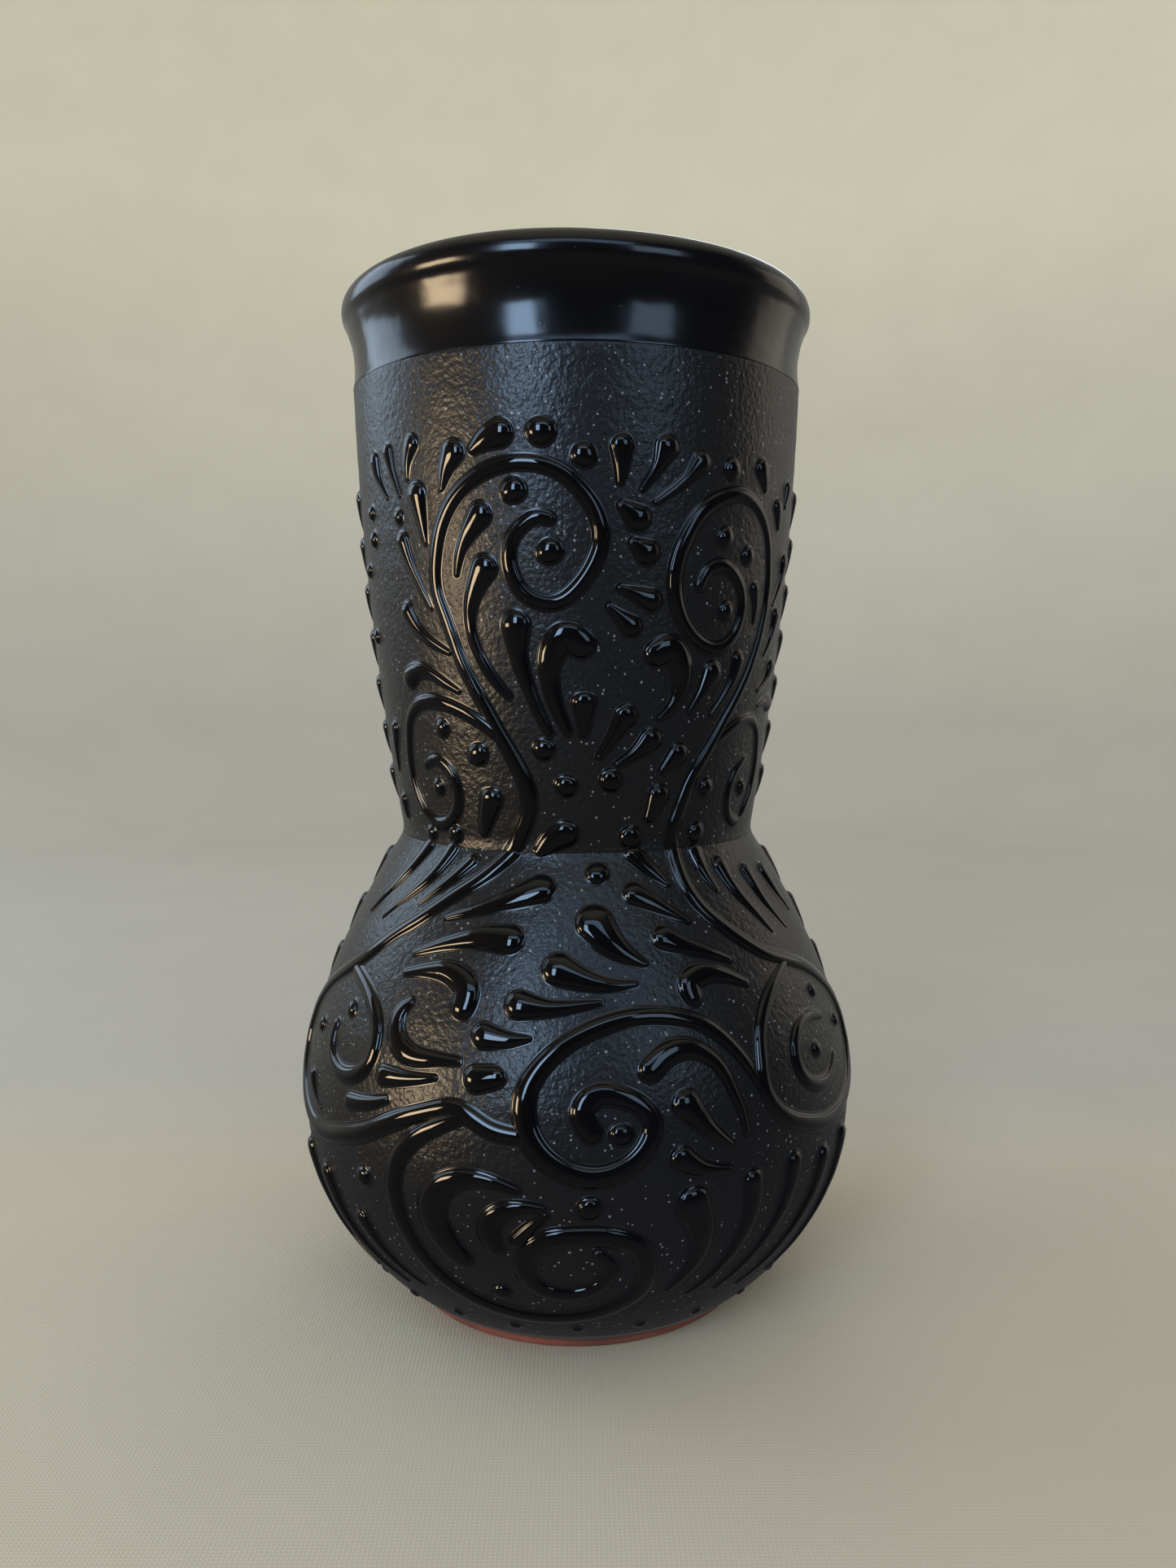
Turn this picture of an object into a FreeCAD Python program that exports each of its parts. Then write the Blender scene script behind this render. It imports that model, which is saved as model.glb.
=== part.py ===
import FreeCAD, Part
import math
import os

import Sketcher

# Black glazed clay vase with trailed slip relief, built the way a potter builds it:
# a thrown lower bulb, a thrown neck luted on at the waist, thin coats of slip and glaze over
# the clay, and raised scrolls, drops and dots of slip on the coats.
# Frame: origin at the middle of the foot ring on the table, +Z up, millimetres.

os.makedirs("parts", exist_ok=True)
doc = FreeCAD.newDocument("vase")

# ---------------------------------------------------------------- sizes
DRIVING = [
    ("foot_radius", 45.2), ("foot_height", 2.2), ("foot_bevel", 0.6),
    ("base_lift", 1.4), ("ring_width", 7.0), ("floor_thickness", 6.0),
    ("belly_radius", 71.0), ("belly_height", 52.0),
    ("shoulder_drop", 5.2), ("shoulder_rise", 26.4),
    ("waist_radius", 44.8), ("line_radius", 55.6), ("lip_radius", 58.2), ("lip_round", 4.2),
    ("bulb_height", 118.5), ("neck_height", 110.0), ("rim_height", 22.4),
    ("foot_band", 3.2), ("gloss_line", 3.4),
    ("shoulder_bulge", 1.2), ("neck_bulge", 1.9), ("groove_depth", 1.2),
    ("bulb_wall", 6.0), ("neck_wall", 5.0), ("seam_rise", 3.0), ("seam_inset", 0.4),
    ("coat", 0.4), ("gloss", 0.5), ("lining", 0.3),
    ("relief_height", 2.4), ("relief_reach", 2.6), ("relief_sink", 0.35),
]

# Sizes worked out from the driving ones.  An arc between two points is stated by its radius.
DERIVED = [
    ("shoulder_height", "belly_height + shoulder_rise"),
    ("shoulder_radius", "belly_radius - shoulder_drop"),
    ("floor_height", "base_lift + floor_thickness"),
    ("line_height", "bulb_height + neck_height"),
    ("rim_top", "line_height + rim_height"),
    ("low_arc", "((belly_height - foot_height)^2 + (belly_radius - foot_radius)^2)"
                " / (2 * (belly_radius - foot_radius))"),
    ("low_centre", "belly_radius - low_arc"),
    ("high_arc", "((shoulder_height - belly_height)^2 + (belly_radius - shoulder_radius)^2)"
                 " / (2 * (belly_radius - shoulder_radius))"),
    ("high_centre", "belly_radius - high_arc"),
    ("cone_arc", "(((shoulder_radius - waist_radius)^2 + (bulb_height - shoulder_height)^2) / 4"
                 " + shoulder_bulge^2) / (2 * shoulder_bulge)"),
    ("neck_arc", "(((line_radius - waist_radius)^2 + neck_height^2) / 4 + neck_bulge^2)"
                 " / (2 * neck_bulge)"),
    ("lip_centre", "lip_radius - lip_round"),
    ("lip_level", "rim_top - lip_round"),
    ("groove_arc", "(((lip_centre + 0.8192 * lip_round - line_radius)^2"
                   " + (lip_level - 0.5736 * lip_round - line_height)^2) / 4 + groove_depth^2)"
                   " / (2 * groove_depth)"),
    ("low_arc_coat", "low_arc + coat"), ("high_arc_coat", "high_arc + coat"),
    ("cone_arc_coat", "cone_arc + coat"), ("neck_arc_coat", "neck_arc + coat"),
    ("low_arc_in", "low_arc - bulb_wall"), ("high_arc_in", "high_arc - bulb_wall"),
    ("cone_arc_in", "cone_arc - bulb_wall"), ("neck_arc_in", "neck_arc - neck_wall"),
    ("low_arc_lined", "low_arc_in - lining"), ("high_arc_lined", "high_arc_in - lining"),
    ("cone_arc_lined", "cone_arc_in - lining"), ("neck_arc_lined", "neck_arc_in - lining"),
    ("groove_arc_glazed", "groove_arc - gloss"), ("lip_arc_glazed", "lip_round + gloss"),
]


def on_low(height, arc):
    """Radius of the lower belly circle of the given arc size at a height."""
    return f"low_centre + sqrt({arc}^2 - ({height} - belly_height)^2)"


def from_high(arc):
    """Shoulder point moved along the wall's own normal onto a circle of another size."""
    return (f"high_centre + (shoulder_radius - high_centre) * {arc} / high_arc",
            f"belly_height + (shoulder_height - belly_height) * {arc} / high_arc")


def from_lip(cosine, sine, arc):
    """Point on the rolled lip, from the lip's centre."""
    return f"lip_centre + {cosine} * {arc}", f"lip_level + {sine} * {arc}"


# Named points of the cross section: (radius, height).
POINTS = {
    "base_middle": ("0", "base_lift"),
    "base_edge": ("foot_radius - ring_width", "base_lift"),
    "ring_in": ("foot_radius - ring_width + base_lift", "0"),
    "ring_out": ("foot_radius - foot_bevel", "0"),
    "foot_low": ("foot_radius", "foot_bevel"),
    "foot": ("foot_radius", "foot_height"),
    "belly": ("belly_radius", "belly_height"),
    "shoulder": ("shoulder_radius", "shoulder_height"),
    "waist": ("waist_radius", "bulb_height"),
    "line": ("line_radius", "line_height"),
    "band_top": from_lip(0.8192, -0.5736, "lip_round"),
    "lip_in": from_lip(-0.766, 0.6428, "lip_round"),
    "floor_middle": ("0", "floor_height"),
    "floor": (on_low("floor_height", "low_arc_in"), "floor_height"),
    "belly_in": ("belly_radius - bulb_wall", "belly_height"),
    "shoulder_in": from_high("high_arc_in"),
    "seam_in": ("waist_radius - neck_wall - seam_inset", "bulb_height + seam_rise"),
    "line_in": ("line_radius - neck_wall", "line_height"),
    "band": (on_low("foot_band", "low_arc"), "foot_band"),
    "band_coat": (on_low("foot_band", "low_arc_coat"), "foot_band"),
    "satin": (on_low("foot_band + gloss_line", "low_arc"), "foot_band + gloss_line"),
    "satin_coat": (on_low("foot_band + gloss_line", "low_arc_coat"), "foot_band + gloss_line"),
    "belly_coat": ("belly_radius + coat", "belly_height"),
    "shoulder_coat": from_high("high_arc_coat"),
    "waist_coat": ("waist_radius + 1.04 * coat", "bulb_height + 0.17 * coat"),
    "line_coat": ("line_radius + coat", "line_height"),
    "line_glazed": ("line_radius + gloss", "line_height"),
    "band_top_glazed": from_lip(0.8192, -0.5736, "lip_arc_glazed"),
    "lip_in_glazed": from_lip(-0.766, 0.6428, "lip_arc_glazed"),
    "line_in_glazed": ("line_radius - neck_wall - gloss", "line_height"),
    "floor_middle_lined": ("0", "floor_height + lining"),
    "floor_lined": (on_low("floor_height + lining", "low_arc_lined"), "floor_height + lining"),
    "belly_lined": ("belly_radius - bulb_wall - lining", "belly_height"),
    "shoulder_lined": from_high("high_arc_lined"),
    "seam_lined": ("waist_radius - neck_wall - seam_inset - lining", "bulb_height + seam_rise"),
    "line_lined": ("line_radius - neck_wall - lining", "line_height"),
    "axis_top": ("0", "line_height"),
    "axis_foot": ("0", "foot_band"),
}

sheet = doc.addObject("Spreadsheet::Sheet", "sizes")


def write_sheet():
    """Fill the sheet: name in column A, value or formula in column B under the same alias."""
    rows = [(name, str(value)) for name, value in DRIVING]
    rows += [(name, "=" + formula) for name, formula in DERIVED]
    for name, (radius, height) in POINTS.items():
        rows += [(name + "_r", "=" + radius), (name + "_z", "=" + height)]
    for row, (name, text) in enumerate(rows, start=1):
        sheet.set(f"A{row}", name)
        sheet.set(f"B{row}", text)
        sheet.setAlias(f"B{row}", name)
    doc.recompute()


def size(name):
    """Value of one size in millimetres."""
    return float(getattr(sheet, name))


def corner(name):
    """(radius, height) of one named point."""
    return size(name + "_r"), size(name + "_z")


write_sheet()

# ---------------------------------------------------------------- turned pieces
# Each outline runs through named points.  A step to the next point is a straight line, or an
# arc given as (radius name, +1 bulging to the right of the way round or -1 to the left).
WALL_UP = [("foot", ("low_arc", 1)), ("belly", ("high_arc", 1)), ("shoulder", ("cone_arc", 1))]
OUTLINES = {
    "clay_bulb": [
        ("base_middle", None), ("base_edge", None), ("ring_in", None), ("ring_out", None),
        ("foot_low", None)] + WALL_UP + [
        ("waist", None), ("seam_in", ("cone_arc_in", -1)), ("shoulder_in", ("high_arc_in", -1)),
        ("belly_in", ("low_arc_in", -1)), ("floor", None), ("floor_middle", None)],
    "clay_neck": [
        ("waist", ("neck_arc", 1)), ("line", ("groove_arc", -1)), ("band_top", ("lip_round", 1)),
        ("lip_in", None), ("line_in", ("neck_arc_in", -1)), ("seam_in", None)],
    "foot_glaze": [
        ("band", None), ("band_coat", ("low_arc_coat", 1)), ("satin_coat", None),
        ("satin", ("low_arc", -1))],
    "bulb_slip": [
        ("satin", None), ("satin_coat", ("low_arc_coat", 1)), ("belly_coat", ("high_arc_coat", 1)),
        ("shoulder_coat", ("cone_arc_coat", 1)), ("waist_coat", None), ("waist", ("cone_arc", -1)),
        ("shoulder", ("high_arc", -1)), ("belly", ("low_arc", -1))],
    "neck_slip": [
        ("waist", None), ("waist_coat", ("neck_arc_coat", 1)), ("line_coat", None),
        ("line", ("neck_arc", -1))],
    "rim_glaze": [
        ("line", None), ("line_glazed", ("groove_arc_glazed", -1)),
        ("band_top_glazed", ("lip_arc_glazed", 1)), ("lip_in_glazed", None),
        ("line_in_glazed", None), ("line_in", None), ("lip_in", ("lip_round", -1)),
        ("band_top", ("groove_arc", 1))],
    "inner_glaze": [
        ("floor_middle", None), ("floor", ("low_arc_in", 1)), ("belly_in", ("high_arc_in", 1)),
        ("shoulder_in", ("cone_arc_in", 1)), ("seam_in", ("neck_arc_in", 1)), ("line_in", None),
        ("line_lined", ("neck_arc_lined", -1)), ("seam_lined", ("cone_arc_lined", -1)),
        ("shoulder_lined", ("high_arc_lined", -1)), ("belly_lined", ("low_arc_lined", -1)),
        ("floor_lined", None), ("floor_middle_lined", None)],
}


def arc_middle(start, end, radius, side):
    """Middle point of the short arc between two points, bulging right (+1) or left (-1)."""
    dr, dz = end[0] - start[0], end[1] - start[1]
    chord = math.hypot(dr, dz)
    sagitta = radius - math.sqrt(radius * radius - chord * chord / 4)
    return ((start[0] + end[0]) / 2 + side * sagitta * dz / chord,
            (start[1] + end[1]) / 2 - side * sagitta * dr / chord)


def edge_between(start, end, bend, place):
    """Line or arc between two (radius, height) points; place turns them into a vector."""
    if bend is None:
        return Part.LineSegment(place(*start), place(*end))
    middle = arc_middle(start, end, size(bend[0]), bend[1])
    return Part.Arc(place(*start), place(*middle), place(*end))


def turned_body(name, outline):
    """Body turned about the axis from an outline whose corners and arcs follow the sheet."""
    body = doc.addObject("PartDesign::Body", name)
    body.Label = name
    plane = next(item for item in body.Origin.OriginFeatures if item.Role == "XZ_Plane")
    sketch = body.newObject("Sketcher::SketchObject", name + "_outline")
    sketch.AttachmentSupport = [(plane, "")]
    sketch.MapMode = "FlatFace"
    count = len(outline)
    for index, (point, bend) in enumerate(outline):
        target = outline[(index + 1) % count][0]
        sketch.addGeometry(edge_between(corner(point), corner(target), bend,
                                        lambda r, z: FreeCAD.Vector(r, z, 0)), False)
    # An arc that runs clockwise keeps its ends swapped, so the end is found by position.
    starts = []
    for index, (point, _) in enumerate(outline):
        wanted = FreeCAD.Vector(*corner(point), 0)
        near = sketch.getPoint(index, 1).distanceToPoint(wanted) < 1e-5
        starts.append(1 if near else 2)
    for index, (point, bend) in enumerate(outline):
        following = (index + 1) % count
        sketch.addConstraint(Sketcher.Constraint(
            "Coincident", index, 3 - starts[index], following, starts[following]))
        for kind, axis, letter, value in (("DistanceX", -2, "r", corner(point)[0]),
                                          ("DistanceY", -1, "z", corner(point)[1])):
            if abs(value) < 1e-9:
                sketch.addConstraint(Sketcher.Constraint(
                    "PointOnObject", index, starts[index], axis))
                continue
            key = sketch.addConstraint(Sketcher.Constraint(
                kind, -1, 1, index, starts[index], value))
            sketch.setExpression(f"Constraints[{key}]", f"sizes.{point}_{letter}")
        if bend is not None:
            key = sketch.addConstraint(Sketcher.Constraint("Radius", index, size(bend[0])))
            sketch.setExpression(f"Constraints[{key}]", f"sizes.{bend[0]}")
    turn = body.newObject("PartDesign::Revolution", name + "_turned")
    turn.Profile = sketch
    turn.ReferenceAxis = (sketch, ["V_Axis"])
    turn.Angle = 360
    body.Placement = FreeCAD.Placement()
    return body


pieces = [turned_body(name, outline) for name, outline in OUTLINES.items()]
doc.recompute()

# ---------------------------------------------------------------- relief layout
# The layout is stated the way it is trailed on: angle round the pot in degrees (0 at the
# front, growing to the right), tape measure along the wall from the waist in mm (up the neck,
# down the bulb) and half the width of the trail in mm.  It was laid out for NECK_TAPE and
# BULB_TAPE and is stretched to the wall lengths that the sheet gives.
NECK_TAPE, BULB_TAPE = 110.6, 123.6

NECK_SCROLLS = [
    [(-17, 3, 1.7), (-13, 12, 1.7), (-16, 20, 1.6), (-21, 28, 1.4), (-25, 34.5, 1.4),
     (-30, 43, 1.4), (-34, 53, 1.4), (-36.5, 60, 1.4), (-36, 67, 1.5), (-33, 75, 1.6),
     (-27, 81.5, 1.5), (-19, 85.3, 1.5), (-11, 86, 1.5), (-4, 84, 1.5), (1, 80, 1.5),
     (4.5, 75, 1.5), (5.5, 70, 1.5), (4, 65, 1.5), (0.5, 60, 1.5), (-5, 56.4, 1.5),
     (-10, 57, 1.5), (-14, 60, 1.5), (-16, 65, 1.5), (-15.5, 69.5, 1.4), (-12.5, 73, 1.4),
     (-9, 74.6, 1.4), (-6.5, 74.2, 1.3)],
    [(28, 3, 1.7), (29.5, 8, 1.6), (33, 16, 1.5), (38.5, 23.5, 1.4), (43.5, 30, 1.3),
     (49.5, 37.5, 1.3), (54, 45, 1.3), (57, 53, 1.3), (58, 61, 1.3), (57, 68, 1.3),
     (54.5, 74, 1.3), (50, 78.5, 1.3), (44, 81, 1.4), (37.5, 80.3, 1.5), (31, 77, 1.6),
     (26.5, 71, 1.6), (24, 64, 1.6), (24.5, 57, 1.5), (28, 51, 1.4), (33.5, 47.3, 1.4),
     (39, 46.8, 1.4), (43.5, 49.5, 1.3), (46, 54.5, 1.3), (45.5, 59.5, 1.3), (42, 63.5, 1.3),
     (37.5, 65.3, 1.3), (33.3, 64, 1.3), (31, 60.5, 1.2)],
    [(-27.5, 31, 1.2), (-33, 33, 1.4), (-40, 34.5, 1.5), (-47, 34, 1.5), (-52.5, 30.5, 1.4),
     (-55, 25, 1.4), (-56, 18, 1.4), (-54, 11, 1.4), (-49, 6.2, 1.4), (-42, 5.5, 1.5),
     (-37, 9, 1.5), (-36, 14.5, 1.4), (-38.5, 19, 1.3), (-43, 20.8, 1.2), (-47.5, 19.5, 1)],
    [(45.5, 26, 1.1), (50, 29, 1.3), (56, 30, 1.3), (61.5, 27.5, 1.3), (64.5, 22, 1.3),
     (65, 15, 1.3), (62, 8.5, 1.3), (57, 4.8, 1.3), (51.5, 6.5, 1.3), (49.5, 12, 1.2),
     (52, 17.5, 1.1), (56, 20.3, 0.9)],
]
NECK_DROPS = [
    [(-17.5, 92.3, 3), (-20.5, 91.3, 2.4), (-24, 89.3, 1.2)],
    [(-29.5, 89, 2.8), (-31.5, 85.5, 1.7), (-33, 81.5, 0.7)],
    [(-42, 92, 2.1), (-43.6, 88.5, 1.3), (-44, 85, 0.7)],
    [(-51.5, 91.5, 1.9), (-50, 87, 1.1), (-47.5, 81.5, 0.7)],
    [(-58.5, 90.5, 2.1), (-57, 86, 1.3), (-53, 81.5, 0.7)],
    [(-41, 81, 2.7), (-40, 76, 1.6), (-38.9, 70.5, 0.7)],
    [(-47.5, 71, 2.3), (-44.5, 65, 1.3), (-41, 59.5, 0.9), (-38.8, 56, 0.6)],
    [(-48, 55, 2.4), (-44, 51, 1.3), (-38.5, 47.7, 1), (-34, 45.7, 0.7)],
    [(-50, 40, 2.6), (-46.5, 41.5, 2), (-41, 41, 1.2), (-36, 38.8, 1), (-32, 37, 0.7)],
    [(-23, 75.5, 2.7), (-26, 72, 1.9), (-28.5, 68, 1.2), (-30, 63, 0.7)],
    [(-22.5, 64, 3), (-25.5, 59, 1.9), (-27, 52, 1.2), (-25, 45, 1.1), (-21, 39.5, 1),
     (-17.5, 36, 0.7)],
    [(-15, 51.5, 3.2), (-14.5, 45, 1.7), (-12, 37.5, 1.1), (-9, 31, 1), (-7, 27.6, 0.7)],
    [(1, 47.3, 3), (-2.5, 49, 3.4), (-6, 45.5, 2.8), (-6.8, 40, 1.8), (-5.2, 33.5, 1.3),
     (-2.3, 28, 0.8)],
    [(1.8, 34.5, 2.5), (1.8, 31, 1.6), (1.7, 27.5, 0.8)],
    [(12.5, 31.5, 2.4), (9.5, 27, 1.3), (6, 22.5, 0.7)],
    [(19.5, 26, 2.5), (15.5, 23, 1.3), (10.8, 20.6, 0.7)],
    [(28, 22.5, 2.4), (23.8, 19, 1)],
    [(23, 13, 2.4), (20.8, 8, 1.3)],
    [(-24.5, 12, 2.7), (-26.3, 8, 2.1), (-27.5, 4.5, 1.2)],
    [(-3.5, 4.6, 2.8), (-6.2, 4.4, 2.1)],
    [(46.5, 44, 2), (45.5, 40.5, 1.5), (42.5, 36, 1), (38.3, 31.6, 0.7)],
    [(37, 41, 2.7), (34.5, 37, 1.5), (30.8, 32.5, 0.7)],
    [(20, 45.3, 2.8), (23.5, 46.3, 3.2), (26.8, 42.5, 2.8), (27.3, 37.5, 1.9), (25.3, 33.5, 1.2),
     (22, 31, 0.7)],
    [(13.8, 74.5, 2.9), (10.5, 77, 1.1)],
    [(16.3, 67.3, 2.8), (13.3, 69.3, 1.1)],
    [(17.8, 57, 2.4), (14, 58.3, 1.5), (10.3, 59.6, 0.7)],
    [(13, 51.3, 2.3), (10.5, 53.3, 1.4), (7.7, 55.6, 0.7)],
    [(10, 89.5, 2.4), (10, 85.5, 1.4), (9.7, 82, 0.7)],
    [(20.5, 89.5, 2.6), (18.5, 85.5, 1.1), (15, 80.5, 0.7)],
    [(29.5, 87, 2.2), (26, 83.5, 0.9), (21.5, 80, 0.8), (18.5, 78, 0.7)],
    [(50.5, 87.5, 2.5), (52.2, 83.5, 1.1)],
    [(60, 80, 2.2), (61.2, 75.5, 1)],
    [(51, 60.5, 1.7), (52, 56.5, 1.1), (52, 53, 0.7)],
    [(66, 55, 2.2), (64.5, 50.5, 1.3), (60.5, 45.5, 0.7)],
    [(67, 42.5, 2.2), (64, 39.5, 1.3), (59, 36.8, 0.8)],
    [(69.5, 33.5, 2.3), (65.5, 33.8, 1.5), (60.5, 33, 0.7)],
    [(69, 68, 2.3), (67.5, 63, 1.3), (63, 57.5, 0.7)],
    [(67, 85, 2.2), (65.5, 81, 1.1)],
    [(-64, 27.5, 2), (-65.5, 22, 1.3), (-66.5, 17, 0.7)],
    [(-66, 9.5, 2), (-65.5, 5.5, 1)],
]
NECK_DOTS = [
    (-8, 92.3, 3), (1.5, 87.4, 2.6), (39, 86.4, 2.2), (-14.5, 80.3, 2.7), (-48.5, 76.7, 1.7),
    (-63, 79, 1.9), (-63, 72.8, 2.1), (-70, 66, 1.9), (-70, 50, 2), (-6.3, 67.3, 2.7),
    (38, 71.5, 2.1), (46.8, 67.8, 2.1), (40, 55, 2.1), (-38.8, 28.3, 2), (-27.5, 22.6, 2.5),
    (-43, 14.2, 1.9), (-8.8, 24, 2.3), (9, 16.8, 2.4), (-3, 15.6, 2.3), (56.5, 13.2, 1.9),
    (39, 14.2, 2), (-35.5, 3.4, 1.4), (38, 3.8, 2.2), (15.5, 3.8, 2.2),
]
BULB_SCROLLS = [
    [(-20, 3, 1.8), (-25.5, 6.5, 1.7), (-31, 10.5, 1.6), (-37, 15, 1.5), (-43, 19.7, 1.5),
     (-49, 24, 1.5), (-54.5, 29, 1.6), (-62, 34.5, 1.7), (-70, 40, 1.8), (-77, 48, 1.9),
     (-79, 57, 2), (-76, 66, 2.1), (-69, 72, 2.2), (-60, 74, 2.2), (-50, 71.5, 2.1),
     (-41, 67.5, 2), (-34, 63, 1.9), (-28, 60, 1.8), (-21.5, 58, 1.7), (-16, 60.5, 1.5)],
    [(-57.5, 37.2, 1.3), (-51.5, 37.8, 1.6), (-46, 41.5, 1.8), (-43, 47, 1.8),
     (-43.5, 53, 1.8), (-48, 57, 1.8), (-54, 57, 1.8), (-58, 53, 1.7), (-58.5, 48, 1.5)],
    [(30.5, 3, 1.7), (29.5, 8, 1.6), (31.5, 14, 1.6), (36.5, 19.7, 1.5), (42, 24.5, 1.5),
     (48, 28.5, 1.5), (54, 31, 1.6), (62, 34.5, 1.7), (70, 40, 1.8), (77, 48, 1.9),
     (79, 57, 2), (76, 64.5, 2.1), (68, 69.5, 2.1), (58, 71, 2), (48, 68.5, 1.9),
     (40.5, 64, 1.8), (37, 58, 1.7), (37, 51.5, 1.6), (38.5, 45, 1.5), (42.5, 39, 1.5),
     (47.5, 35.3, 1.3)],
    [(61, 47, 1.2), (56.5, 45.7, 1.4), (51, 46.7, 1.6), (47.3, 51, 1.6), (47.8, 57, 1.6),
     (52.5, 61, 1.6), (58.5, 61, 1.5), (62.5, 57.5, 1.3)],
    [(33.6, 53.5, 0.8), (32.3, 50, 1.1), (29.5, 45, 1.3), (26, 41.5, 1.5), (21.5, 39.2, 1.6),
     (16, 37.9, 1.7), (10, 37.9, 1.7), (4, 39.6, 1.8), (-2, 43, 1.8), (-6.3, 47.5, 1.9),
     (-9, 53, 2.1), (-9.2, 59, 2.3), (-7, 65, 2.4), (-2.7, 69.3, 2.3), (3.2, 71, 2.2),
     (8.5, 69, 2.1), (12, 64.8, 2), (13, 60, 1.9), (11, 56.3, 1.9), (7, 54, 2.1),
     (3, 54, 2.4), (1, 57, 2.6), (2.3, 61.5, 2.2)],
    [(-21.5, 62.6, 1.1), (-25, 63, 1.5), (-29.5, 65.7, 1.9), (-33, 70.5, 2.1),
     (-34.8, 77, 2.2), (-34.5, 84, 2.3), (-32.5, 92, 2.3), (-29, 99, 2.3), (-23.5, 105, 2.2),
     (-16, 109.3, 2.1), (-7, 111, 2), (2, 109.5, 2), (8.6, 105.5, 2.1), (12.4, 99.8, 2.2),
     (12.8, 94, 2.3), (11, 88.5, 2.3), (6.5, 85.2, 2.3), (0, 84.5, 2.3), (-6, 86, 2.3),
     (-9.5, 91, 2.2), (-9, 97, 2.2), (-4.5, 101, 2.1), (1, 100.8, 2), (4.6, 98, 1.8),
     (6, 93.3, 1.7), (3.8, 89.2, 1.3)],
]
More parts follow.
